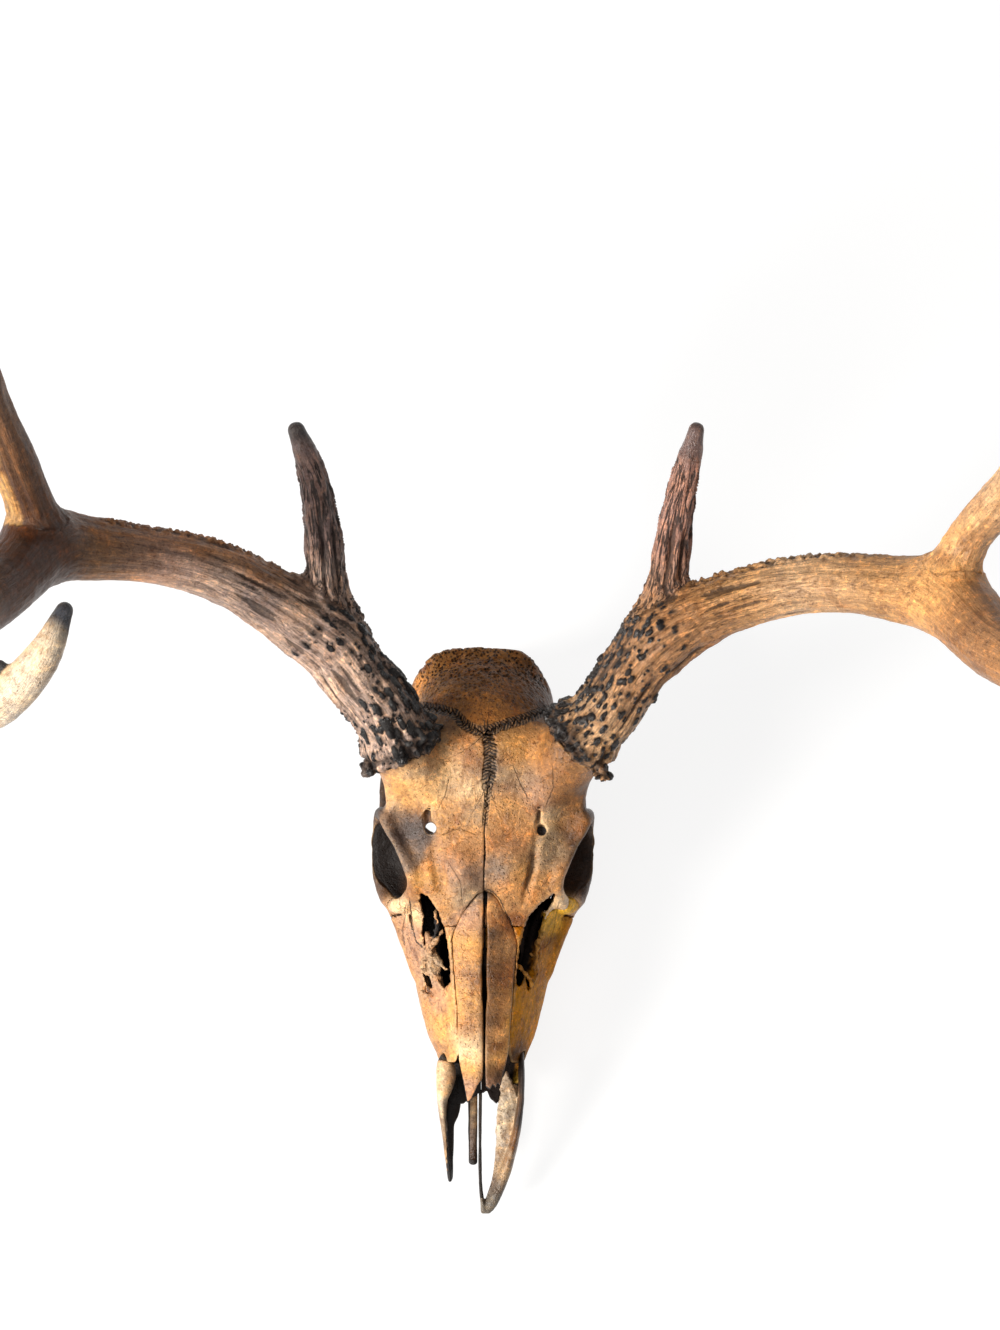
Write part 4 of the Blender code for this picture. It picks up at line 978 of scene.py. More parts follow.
def add_ethmoid(whole):
    """The crumpled thin bone that shows in the openings before the eyes: bars melted
    together and stirred by noise, so that they tear into lumps and holes."""
    pale = [
        (-1, [(29.6, 146, 62, 1.4), (28.0, 140, 61, 2.4), (27.0, 134, 60, 3.6),
              (25.6, 128, 59, 3.6), (24.0, 122, 57, 3.4), (22.6, 117, 56, 2.2)]),
        (-1, [(30.6, 133, 57, 2.2), (29.4, 127.5, 56, 2.6), (28.2, 124.6, 56, 1.6)]),
        (-1, [(25.6, 134, 61, 2.2), (22.6, 131, 62, 2.0), (20.2, 127, 64, 1.2)]),
        (-1, [(30.2, 120, 54, 1.2), (31.2, 116, 53, 1.6), (27.4, 115, 54, 1.4)]),
        (-1, [(24.4, 150, 70, 0.8), (25.8, 156, 72, 0.7)]),
        (1, [(29.4, 139, 62, 1.0), (27.6, 130, 60, 1.4), (26.6, 123, 58, 1.6),
             (24.2, 117, 58, 1.2)]),
        (1, [(19.8, 127, 66, 0.9), (21.8, 123, 63, 1.1), (20.6, 118.6, 63, 1.2)]),
        (1, [(31.6, 156, 72, 1.2), (30.8, 150, 68, 1.5), (29.4, 142, 64, 1.5)]),
        (1, [(28.8, 143, 69, 1.2), (27.6, 136, 66, 1.7), (26.6, 128, 64, 1.5)]),
        (1, [(18.6, 127, 71, 1.2), (22.0, 123.4, 68, 1.6), (25.0, 119, 64, 1.6)]),
        (1, [(20.6, 143, 73, 1.1), (23.4, 137, 68, 1.5), (25.0, 134, 66, 1.3)]),
        (-1, [(22.2, 146, 72, 1.1), (24.6, 142, 68, 1.5), (27.8, 139, 64, 1.6)]),
    ]
    # lumps that take the painted shade of deep places, among them bars deep in the nose that stand
    # in for its shade
    shaded_lumps = [
        (1, [(0.6, 142, 38, 4.5), (1.4, 160, 38, 5.5), (2.4, 177, 31, 6.5)]),
        (1, [(7.5, 154, 37, 6.5), (7.5, 136, 38, 8.0), (7.0, 116, 37, 5.5)]),
        (-1, [(7.5, 154, 37, 6.5), (7.5, 136, 38, 8.0), (7.0, 116, 37, 5.5)]),
        (-1, [(25.0, 158, 70, 1.6), (24.0, 150, 67, 2.0), (25.6, 144, 64, 1.8)]),
        (-1, [(21.4, 140, 66, 1.6), (20.6, 134, 66, 1.4)]),
        (1, [(30.0, 158, 68, 2.0), (26.4, 150, 64, 2.6), (24.0, 141, 61, 2.8),
             (22.4, 132, 59, 2.6), (21.2, 124, 58, 2.0)]),
        (1, [(27.4, 143, 60, 1.8), (25.6, 134, 58, 2.0), (24.6, 126, 57, 1.6)]),
    ]
    for number, (side, rows) in enumerate(pale + shaded_lumps):
        cut, distance = whole.sweep(smooth_rows(on_side(rows, side), 3), reach=4.0)
        x, s, z = whole.places(cut)
        grid = np.stack(np.broadcast_arrays(x, s, z), axis=-1).reshape(-1, 3)
        stirred = 1.3 * layered(grid, 3.6, 2, 301 + number) + 0.9 * np.abs(noise(grid / 2.6, 331))
        distance = distance + stirred.reshape(distance.shape)
        whole.melt((cut, distance), 0.8)
        # only the pale bars are spared the painted shade
        if number < len(pale):
            whole.plates[cut] = np.minimum(whole.plates[cut], distance)


# --- Sutures: where the skull is parted into its bones ------------------------
def wander(run, size, period, seed):
    """A jagged line's offset: a sharp wave whose period drifts with smooth noise."""
    drift = noise(np.column_stack([run.ravel() / (period * 2.3), np.zeros(run.size),
                                   np.zeros(run.size)]), seed).reshape(run.shape)
    return size * zigzag(run / period + drift * 0.8)


def past_coronal(x, s):
    """How far behind the suture between forehead and braincase, to its jagged line."""
    line = np.interp(x, *np.transpose(CORONAL))
    return s - line - wander(x, 1.9, 3.4, 11)


def left_of_middle(x, s):
    """How far to the left of the jagged line between the two frontal bones."""
    line = np.array(INTERFRONTAL)
    middle = np.interp(s, line[:, 1], line[:, 0])
    size = 0.15 + 2.6 * ease(s, 214, 222) + 1.1 * ease(s, 196, 206)
    return x - middle - wander(s, 1.0, 3.0, 23) * size


def regions(x, s, z):
    """Distance out of the frontal, cheek, snout and braincase regions, before any bone
    has been taken from another."""
    front = FRONTAL_FRONT + wander(x, 0.5, 2.6, 5)
    floor = FRONTAL_FLOOR[0] + FRONTAL_FLOOR[1] * s + wander(s, 0.8, 5.0, 31)
    frontal = np.maximum(np.maximum(past_coronal(x, s), front - s), floor - z)
    inner = np.interp(s, [a[1] for a in CHEEK_SEAM], [a[0] for a in CHEEK_SEAM])
    cheek = np.maximum(inner + wander(s, 0.6, 3.6, 41) - np.abs(x),
                       np.maximum(CHEEK_SEAM[0][1] + wander(z, 0.6, 3.0, 43) - s,
                                  s - CHEEK_SEAM[-1][1] - wander(z, 0.6, 3.0, 47)))
    ceiling = z - CHEEK_CEILING[0] - CHEEK_CEILING[1] * s
    cheek = np.maximum(cheek, ceiling / CEILING_STEEPNESS)
    snout = s - MAXILLA_BACK - wander(x + z, 0.5, 3.4, 53)
    case = BRAINCASE_FRONT + wander(z, 0.5, 3.4, 59) - s
    return frontal, cheek, snout, case


def part_bones(whole):
    """The field of each bone, by name: each region less those taken before it."""
    x, s, z = whole.places()
    frontal, cheek, snout, case = regions(x, s, z)
    middle = left_of_middle(x, s)
    rest = whole.field
    out = {}
    seam = 0.06
    for bone, region, split in (("frontal", frontal, middle), ("zygomatic", cheek, x),
                                ("maxilla", snout, x)):
        for word, side in (("left", 1), ("right", -1)):
            own = np.maximum(region + seam, seam - side * split)
            out[bone + "_" + word] = np.maximum(rest, own)
        rest = np.maximum(rest, seam - region)
    out["braincase"] = np.maximum(rest, case + seam)
    out["sphenoid"] = np.maximum(rest, seam - case)
    return out


def trimmed(field, low, step):
    """The part of a field that holds the bone, with two grid steps of space round it."""
    inside = field < 0
    cut, start = [], []
    for axis in range(3):
        others = tuple(m for m in range(3) if m != axis)
        at = np.flatnonzero(inside.any(axis=others))
        first, last = max(at[0] - 3, 0), min(at[-1] + 4, field.shape[axis])
        cut.append(slice(first, last))
        start.append(first)
    piece = field[tuple(cut)].copy()
    for axis in range(3):
        edge = [slice(None)] * 3
        for end in (0, -1):
            edge[axis] = end
            piece[tuple(edge)] = np.maximum(piece[tuple(edge)], step)
    return piece, np.asarray(low) + step * np.array(start)


# --- Marks on the bones: stain, sutures and colour at each point --------------
# (x, s) line, half-width of its jagged band, how dark it is, lowest z where it shows
LINES = [
    (CORONAL, 2.9, 1, 60),
    ([p for p in INTERFRONTAL if p[1] > 213], 3.3, 1, 60),
    ([(0.5, 219), (0.1, 207), (-0.4, 199.2), (-0.8, 195.5)], 1.5, 0.8, 60),
    ([p for p in INTERFRONTAL if p[1] < 200], 0.3, 0.9, 60),
    ([(1, 163), (4, 161.8), (7.2, 158.4), (10.6, 152.6), (13, 149), (15, 144)],
     0.4, 0.7, 60),
    ([(-38.7, 159), (-38, 156.3), (-37.2, 150), (-35, 143), (-32, 139.5)],
     0.4, 0.9, 45),
    ([(-41, 157), (-42.4, 150), (-41, 143)], 0.3, 0.5, 45),
    ([(38.7, 159), (38, 156.3), (37.2, 150), (35, 143), (32, 139.5)], 0.4, 0.4, 45),
    ([(22, 176), (20.6, 168), (22.4, 162)], 0.3, 0.6, 60),
    ([(-6, 190), (-14, 193), (-22, 190)], 0.2, 0.3, 60),
    ([(31, 205), (34, 212), (33, 220)], 0.25, 0.35, 60),
    ([(-24.5, 203), (-21, 209), (-19.5, 216)], 0.25, 0.35, 60),
    ([(14, 222), (17.5, 214), (21, 208)], 0.25, 0.45, 60),
    ([(-18, 174), (-13, 166), (-12, 158)], 0.25, 0.35, 60),
]


def line_marks(points):
    """For each point, the offset in millimetres from the nearest drawn suture, how far
    along that line it lies, the half-width of the line's band, and how dark the line is."""
    best = np.full(len(points), 9.0)
    out = np.zeros((len(points), 3))
    out[:, 0], out[:, 2] = 30.0, 0.3
    strength = np.zeros(len(points))
    for line, band, dark, floor in LINES:
        line = np.array(line, float)
        run = run_along(np.column_stack([line, np.zeros(len(line))]))
        for (a, b, start) in zip(line, line[1:], run):
            step = b - a
            offset = points[:, :2] - a
            t = np.clip(offset @ step / (step @ step), 0, 1)
            away = offset - t[:, None] * step
            side = np.sign(step[0] * offset[:, 1] - step[1] * offset[:, 0])
            away = side * np.linalg.norm(away, axis=1)
            share = np.where(points[:, 2] > floor, np.abs(away) / max(band, 1.0), 9.0)
            nearer = share < best
            best = np.where(nearer, share, best)
            run_here = start + t * np.linalg.norm(step)
            here = np.column_stack([away, run_here, np.full(len(points), band)])
            out = np.where(nearer[:, None], here, out)
            strength = np.where(nearer, dark, strength)
    return out, strength


# colours of the bone, as linear red, green and blue
AMBER = (0.50, 0.245, 0.090)
HONEY = (0.62, 0.305, 0.09)
CREAM = (0.82, 0.56, 0.32)
DUSK = (0.085, 0.060, 0.052)
PINK = (0.44, 0.235, 0.135)
BROWN = (0.20, 0.088, 0.026)
UMBER = (0.055, 0.024, 0.010)
GREY = (0.17, 0.115, 0.085)
SAND = (0.40, 0.27, 0.16)
OCHRE = (0.55, 0.27, 0.02)
RUST = (0.34, 0.13, 0.035)
CHALK = (0.60, 0.48, 0.35)
ASH = (0.15, 0.125, 0.10)
# black, for painted shadow
SHADOW_BLACK = (0.014, 0.009, 0.007)
# patches of colour on the skull, by colour: x, s, z, how far it reaches, strength; some are painted
# shadow or highlight, as marked
PATCHES = {
    AMBER: [
        (-24, 266, 104, 10, 1.6), (0, 288, 92, 12, 0.9), (-16, 284, 94, 9, 2),
        (10, 286, 93, 8, 1.4), (-8, 262, 113, 9, 0.5), (-30, 275, 88, 12, 1.2),
        (-32, 266, 96, 10, 1.2), (-14, 232, 114, 10, 2.4), (24, 240, 112, 8, 1.6),
        (36, 226, 110, 8, 1.6), (-16, 202, 106, 9, 1.6), (12, 198, 104, 9, 2),
        (-12, 186, 102, 9, 2.4), (-24, 184, 99, 5, 2.2), (-44, 206, 103, 9, 1.8),
        (-36, 203, 106, 6, 1.6), (32, 172, 92, 6, 1.6), (22, 164, 92, 6, 2), (10, 164, 94, 7, 2),
        (-22, 160, 88, 6, 1.6), (-9, 122, 79, 8, 2), (-8, 96, 73, 7, 1.6), (5, 152, 88, 6, 2),
        (12, 136, 84, 6, 2), (11, 106, 76, 5, 2), (9, 92, 71, 5, 2.4), (-28, 104, 44, 9, 2),
        (-38, 112, 28, 14, 2), (34, 134, 56, 7, 1.6), (0, 130, 14, 30, 2),
    ],
    HONEY: [
        (-25, 220, 112, 10, 1.4), (15, 231, 115, 9, 1.8), (12, 204, 106, 6, 2),
        (18, 172, 97, 6, 1), (-26, 168, 92, 7, 1.2), (-20, 192, 103, 6, 1.6),
        (-38, 214, 107, 8, 2), (-30, 210, 109, 6, 1.6), (-9, 136, 84, 7, 2), (-9, 108, 76, 8, 2),
        (-8, 74, 66, 5, 1.6), (8, 80, 68, 5, 2), (-20, 96, 56, 8, 2.4), (-22, 86, 46, 7, 2),
    ],
    CREAM: [
        # the patch at (41, 148, 62) is a painted highlight on the side of the left maxilla
        (-26, 222, 112, 11, 2), (-14, 214, 110, 9, 1.6), (-30, 212, 110, 9, 1.2),
        (-46, 208, 98, 6, 1.2), (33, 197, 102, 6, 1.2), (-7, 84, 69, 7, 1.8),
        (-40, 156, 66, 7, 3.5), (-17, 92, 62, 4, 1.4), (40, 158, 72, 8, 4),
        (41, 148, 62, 6, 2.4), (-22, 78, 45, 5, 5), (-21, 70, 42, 5, 5),
    ],
    DUSK: [
        (-40, 194, 99, 7, 9), (-35, 190, 99, 6, 8),
    ],
    PINK: [
        (20, 210, 110, 10, 1.2), (-16, 176, 98, 9, 1.6), (-9, 148, 86, 6, 1.6),
        (-8, 65, 64, 5, 2), (4, 66, 65, 4, 1.8), (-24, 120, 57, 6, 3), (-36, 148, 60, 9, 2),
        (-32, 132, 52, 9, 2), (-24, 112, 56, 7, 2), (-17, 74, 44, 4, 3),
    ],
    BROWN: [
        (0, 275, 104, 34, 2.2), (2, 258, 114, 8, 2), (-14, 258, 112, 8, 2), (8, 252, 114, 10, 1),
        (29, 224, 112, 12, 1.5), (45, 198, 98, 6, 2.4), (42, 210, 104, 9, 1.8),
        (5, 133, 83, 7, 2.4), (5, 119, 79, 7, 2.4), (5, 112, 78, 7, 3), (4, 105, 75, 6, 2.4),
        (4, 86, 70, 5, 2.4), (4, 74, 67, 5, 2.4), (35, 144, 58, 7, 1), (21, 86, 52, 7, 2.6),
        (18, 44, 28, 6, 4), (0, 270, 36, 30, 3), (0, 230, 36, 30, 3),
    ],
    UMBER: [
        # dark brown bone; the patches at x -50 and -52 are painted shadow on the right arch and bar
        # behind the eye socket, and those on the inner sides and floor of the snout's fork are
        # partly painted shade
        (-4, 270, 110, 9, 0.8), (20, 270, 102, 18, 1.8), (34, 262, 90, 12, 3),
        (-18, 243, 115, 6, 1.2), (-37, 190, 99, 4, 4), (-52, 206, 92, 4, 5),
        (44, 190, 96, 7, 0.9), (47, 204, 92, 5, 3), (0, 160, 91, 4, 1.6), (5, 140, 85, 6, 2),
        (5, 126, 81, 7, 1.6), (4, 98, 73, 6, 1.4), (8, 71, 66, 5, 4), (18, 82, 56, 4, 3),
        (54, 185, 52, 10, 3), (-54, 185, 52, 10, 3), (52, 205, 80, 8, 2), (-52, 205, 80, 8, 2),
        (50, 225, 56, 14, 6), (-50, 222, 56, 16, 8), (-15, 24, 21, 4, 3), (-15.5, 72, 40, 5, 5),
        (-15.5, 58, 32, 6, 6), (-15.5, 44, 26, 6, 6), (-15, 34, 24, 4, 3), (-3, 33, 20, 5, 2),
        (20, 78, 44, 7, 6), (20, 56, 32, 6, 4), (0, 40, 21, 5, 4), (1, 20, 18, 4, 4),
        (36, 240, 80, 14, 3), (-36, 240, 80, 14, 2),
    ],
    GREY: [
        (6, 226, 115, 6, 0.8), (8, 172, 97, 7, 1.4), (-10, 170, 96, 7, 0.8),
        (-40, 181, 94, 5, 6), (-46, 199, 99, 5, 4), (-3, 44, 21, 6, 3), (8, 20, 18, 5, 4),
    ],
    SAND: [
        (14, 218, 112, 9, 1.4), (-8, 198, 105, 6, 1), (12, 178, 99, 8, 1), (33, 184, 98, 6, 4),
        (30, 178, 95, 5, 3), (38, 200, 102, 6, 1.6), (-12, 160, 90, 6, 1.4),
        (-27, 128, 60, 8, 3), (-22, 50, 30, 6, 3), (-19, 34, 24, 6, 2.4), (-3, 58, 23, 6, 3),
        (13, 30, 22, 6, 3),
    ],
    OCHRE: [
        (22, 112, 64, 8, 3.5), (18, 98, 62, 8, 4), (26, 104, 48, 10, 3), (34, 112, 34, 14, 3),
    ],
    RUST: [
        (-11, 229, 114, 6, 1.2), (11, 184, 102, 8, 1.6), (-14, 183, 101, 7, 1.4),
        (27, 180, 96, 3, 1.6), (11, 146, 86, 5, 2), (12, 122, 79, 6, 2.4),
    ],
    CHALK: [
        (-22, 62, 37, 5, 5), (12, 68, 28, 6, 5), (12, 60, 26, 6, 5), (12, 50, 24, 6, 5),
        (10, 40, 22, 5, 4),
    ],
    ASH: [
        (5, 12, 17, 8, 12), (2, 8, 17, 6, 8),
    ],
    SHADOW_BLACK: [
        # painted shadow behind the right eye socket, on the arch and the bar behind it
        (-54, 212, 84, 8, 12), (-54, 220, 66, 9, 12),
    ],
}


def patch_colours(points):
    """Colour at each point: the patches' colours, each weighted by its strength times a
    bell curve of the distance over its reach, with the places first stirred by noise."""
    stirred = points + 2.4 * np.column_stack([layered(points, 9.0, 2, 200 + k) for k in range(3)])
    total = np.full((len(points), 1), 0.02)
    colour = np.array(AMBER) * total
    for hue, spots in PATCHES.items():
        for x, s, z, reach, strength in spots:
            away = np.sum((stirred - (x, s, z)) ** 2, axis=1) / reach ** 2
            weight = (strength * np.exp(-1.2 * away))[:, None]
            total = total + weight
            colour = colour + weight * np.array(hue)
    return colour / total


def bone_values(points, whole, crowd, sharp):
    """Everything that the bone finish reads: colour, how much bone is round a place, how
    far it lies under the skull's outside or in the eye socket and nose, which the finish
    paints as shade, how sharp an edge it is on, suture lines, and where the teeth are."""
    low, step = whole.low, whole.step
    hollow = sample(crowd, low, step, points)
    edge = sample(sharp, low, step, points)
    # painted shade: the deeper a place lies under the outside, in the eye socket or in the nose,
    # the darker the finish paints it
    shade_depth = np.maximum(-sample(whole.full, low, step, points), 0.0)
    most = np.where(points[:, 0] > 0, 2.9, 20.0)
    for inner, limit in ((whole.socket, most), (whole.nose, 20.0)):
        shade_depth = np.maximum(shade_depth, np.minimum(3.4 * (1.4 - sample(inner, low, step, points)), limit))
    # painted shade on the floor of the snout's fork
    front = (1 - ease(points[:, 1], 68, 76)) * (1 - ease(points[:, 2], 31, 36))
    shade_depth = np.maximum(shade_depth, 8.0 * front)
    # the pale thin plates in the openings are spared that painted shade, save for dark pits
    on_plate = 1 - ease(sample(whole.plates, low, step, points), 0.3, 1.4)
    pitted = ease(layered(points, 2.2, 2, 341), 0.10, 0.36)
    shade_depth = shade_depth * (1 - on_plate) + 2.8 * on_plate * pitted
    # painted shade down the blind hole over the left eye
    blind = 1 - ease(np.hypot(points[:, 0] - FORAMEN[0], points[:, 1] - FORAMEN[1]), 2.2, 2.9)
    shade_depth = np.maximum(shade_depth, 6.0 * blind * (points[:, 2] > 95.0))
    suture, mark = line_marks(points)
    tooth = (1 - ease(points[:, 2], 13.0, 17.0)) * ease(points[:, 1], 84, 88)
    tooth = tooth * (1 - ease(points[:, 1], 166, 170)) * ease(np.abs(points[:, 0]), 12, 15)
    rugged = np.maximum(ease(points[:, 1], 262, 278), 0.4 * ease(points[:, 1], 248, 258))
    rugged = rugged * ease(points[:, 2], 68, 84)
    return {"tint": patch_colours(points), "hollow": hollow, "edge": edge, "shade_depth": shade_depth,
            "suture": suture, "mark": mark, "tooth": tooth, "rugged": rugged}


def roughened(points, faces, rugged):
    """The points moved along their normals by fine noise, more where the bone is rugged."""
    swell = 0.34 * layered(points, 11.0, 3, 61) + 0.16 * layered(points, 2.6, 2, 67)
    swell -= rugged * 0.75 * ease(layered(points, 2.3, 2, 71), -0.1, 0.35)
    return raised(points, faces, swell)


def nasal_bone(side, plan):
    """One nasal bone: a thin arched plate inside its outline."""
    low, high = sorted((side * 0.2, side * 20.0))
    block = Block((low - 1.5, 54, 52), (high + 1.5, 166, 97), BONE_STEP * 0.8)
    x, s, z = block.places()
    edge = outline_distance(x[:, :, 0], s[:, :, 0], plan)[:, :, None]
    top = nasal_top(x, s)
    thick = NASAL_THICKNESS - 1.4 * ease(np.abs(x), 3.0, 9.0)
    plate = smooth_max(z - top, top - thick - z, 1.2)
    rounding = 0.8 - 0.6 * ease(s, 138.0, 146.0)
    block.field = smooth_max(plate, edge - 0.1 + 0 * plate, rounding).astype(np.float32)
    return block


def straps(parts, side):
    """A bone of the snout's fork, from flattened bars melted together."""
    rows = [smooth_rows(on_side(part, side), 4) for part in parts]
    every = np.vstack(rows)
    block = Block(every[:, :3].min(axis=0) - 14, every[:, :3].max(axis=0) + 14, BONE_STEP * 0.7)
    for part in rows:
        block.melt(block.sweep(part, reach=3.0), 1.6)
    return block


def loose_shade_depth(name, points, faces, shade_depth):
    """How dark a loose bone is at each point, on the scale of a place's depth: on its
    broken faces, with stain and painted shade on its inner sides, and with painted shade
    where it runs under its neighbours and on its sides that face down."""
    x, back, _ = points.T
    if name == "premaxilla_right":
        pale = np.interp(back, [24, 38, 46, 56, 62, 67, 74, 84],
                         [-17.8, -18.2, -18.2, -18.4, -17.4, -15.8, -13.7, -14.3])
        inner = ease(x + 0.5 * noise(points / 2.0, 91), pale - 0.3, pale + 0.5)
        return 6.0 * inner + 4.0 * ease(back + 0.2 * x, 77.0, 78.2)
    if name == "premaxilla_left":
        outer = np.interp(back, [31, 48, 58, 71, 82], [12.6, 17.9, 19.6, 19.8, 20.2])
        inset = 1.3 * (1 - ease(back, 71, 75))
        rod = np.where(back > 14, 4.0 * (1 - ease(x, 2.2, 3.4)), 0.0)
        return rod + 3.4 * ease(x - outer - inset, -2.4, -1.4) * ease(back, 42, 52)
    if name == "palatine_rod_right":
        return 4.0 * (1 - ease(x, -6.1, -5.4)) + 4.0 * (1 - ease(back, 33.0, 34.5))
    # painted shade on the sides and undersides of the nasal bones
    return shade_depth * (1 - ease(normals_of(points, faces)[:, 2], 0.2, 0.5))


def flake_height(points):
    """Crumbled relief of the pale flake on the left bone of the snout's fork."""
    x, back, up = points.T
    flake = (ease(x, 5.0, 7.0) * (1 - ease(x, 15.5, 17.5)) * ease(back, 36, 40)
             * ease(up, 20.0, 22.0))
    return 0.9 * flake * layered(points, 3.2, 2, 87)


def build_skull(finishes):
    """All the bones of the skull as pieces."""
    whole = whole_skull()
    low, step = whole.low, whole.step
    inside = (whole.field < 0).astype(np.float32)
    crowd = blurred(blurred(inside, int(5.0 / step)), int(5.0 / step))
    sharp = blurred(inside, int(round(1.6 / step)))
    slots = {"frontal_left": "bone_amber", "frontal_right": "bone_amber",
             "zygomatic_left": "bone_amber", "zygomatic_right": "bone_amber",
             "maxilla_left": "bone_ochre", "maxilla_right": "bone_amber",
             "braincase": "bone_brown", "sphenoid": "bone_brown"}
    for name, field in part_bones(whole).items():
        points, faces = surface(field, low, step)
        values = bone_values(points, whole, crowd, sharp)
        points = roughened(points, faces, values["rugged"])
        points[:, 0] -= 2.2 * ease(points[:, 1], 246.0, 288.0)
        points[:, 2] = np.maximum(points[:, 2], 0.0)
        slot = slots[name]
        make_piece(name + "_bone", points, faces, finishes[slot], [name], values)
    fork = [PREMAXILLA_SIDE, PREMAXILLA_SHELF, PREMAXILLA_FLAKE, ROD_LEFT]
    loose = {
        "nasal_left": nasal_bone(1, NASAL_LEFT_PLAN),
        "nasal_right": nasal_bone(-1, NASAL_RIGHT_PLAN),
        "premaxilla_left": straps(fork, 1),
        "premaxilla_right": straps([PREMAXILLA_BROKEN, PREMAXILLA_INNER], -1),
        "palatine_rod_right": straps([ROD_BROKEN], -1),
    }
    for name, block in loose.items():
        points, faces = surface(block.field, block.low, block.step)
        values = bone_values(points, whole, crowd, sharp)
        values["hollow"] = np.clip(values["hollow"], 0.0, 0.5)
        values["edge"] = np.maximum(values["edge"], 0.45)
        values["shade_depth"] = loose_shade_depth(name, points, faces, values["shade_depth"])
        if name == "premaxilla_left":
            points = raised(points, faces, flake_height(points))
        points = raised(points, faces, 0.22 * layered(points, 7.0, 3, 83))
        slot = "bone_amber"
        make_piece(name + "_bone", points, faces, finishes[slot], [name], values)


# --- Antlers ------------------------------------------------------------------
def frames_along(path):
    """Direction of a path at each row and two directions square to it, carried along
    without twist."""
    ahead = np.gradient(path[:, :3], axis=0)
    ahead /= np.linalg.norm(ahead, axis=1)[:, None]
    across = [np.cross(ahead[0], (0.0, 0.0, 1.0))]
    for tangent in ahead[1:]:
        u = across[-1] - tangent * (across[-1] @ tangent)
        across.append(u / np.linalg.norm(u))
    across = np.array(across)
    across /= np.linalg.norm(across, axis=1)[:, None]
    return ahead, across, np.cross(ahead, across)


def straightened(points, paths):
    """Places as if each beam and tine were straight: distance along the nearest path, and
    the two offsets from it.  Also the path's number, the share of its run, and the
    direction outwards from it."""
    best = np.full(len(points), 1e9)
    place = np.zeros((len(points), 3))
    number = np.zeros(len(points), int)
    share = np.zeros(len(points))
    outward = np.zeros((len(points), 3))
    for k, path in enumerate(paths):
        ahead, across, up = frames_along(path)
        run = run_along(path)
        for start in range(0, len(points), 20000):
            some = slice(start, start + 20000)
            offset = points[some, None, :] - path[None, :, :3]
            away = np.linalg.norm(offset, axis=2)
            nearest = np.argmin(away, axis=1)
            rows = np.arange(len(nearest))
            offset = offset[rows, nearest]
            gap = away[rows, nearest] - path[nearest, 3]
            here = np.column_stack([run[nearest] + np.sum(offset * ahead[nearest], axis=1),
                                    np.sum(offset * across[nearest], axis=1),
                                    np.sum(offset * up[nearest], axis=1)])
            nearer = gap < best[some]
            best[some] = np.where(nearer, gap, best[some])
            place[some] = np.where(nearer[:, None], here, place[some])
            number[some] = np.where(nearer, k, number[some])
            share[some] = np.where(nearer, here[:, 0] / run[-1], share[some])
            around = offset / np.maximum(away[rows, nearest], 0.1)[:, None]
            outward[some] = np.where(nearer[:, None], around, outward[some])
    return place, number, share, outward


def antler_field(side, beam, tines):
    """The whole antler as a block: a beam that swells at the burr, and tines melted in."""
    path = smooth_rows(on_side(beam, side), 5)
    run = run_along(path)
    path[:, 3] += BURR_SWELL * np.exp(-((run - BURR_AT) / BURR_SPREAD) ** 2)
    rows = [smooth_rows(on_side(tine, side), 5) for tine in tines.values()]
    every = np.vstack([path] + rows)
    block = Block(every[:, :3].min(axis=0) - 20, every[:, :3].max(axis=0) + 20, ANTLER_STEP)
    block.melt(block.sweep(path, reach=4.0))
    for k, tine in enumerate(rows):
        block.melt(block.sweep(tine, reach=9.0), 3.0 if k == 3 else 9.0)
    block.melt(block.ball(*BURR_KNOB[side]), 2.0)
    cut = block.window(path[0, :3] - 30, path[0, :3] + 30)
    block.field[cut] = np.maximum(block.field[cut], -ahead_of(block.places(cut), path))
    return block, [path] + rows


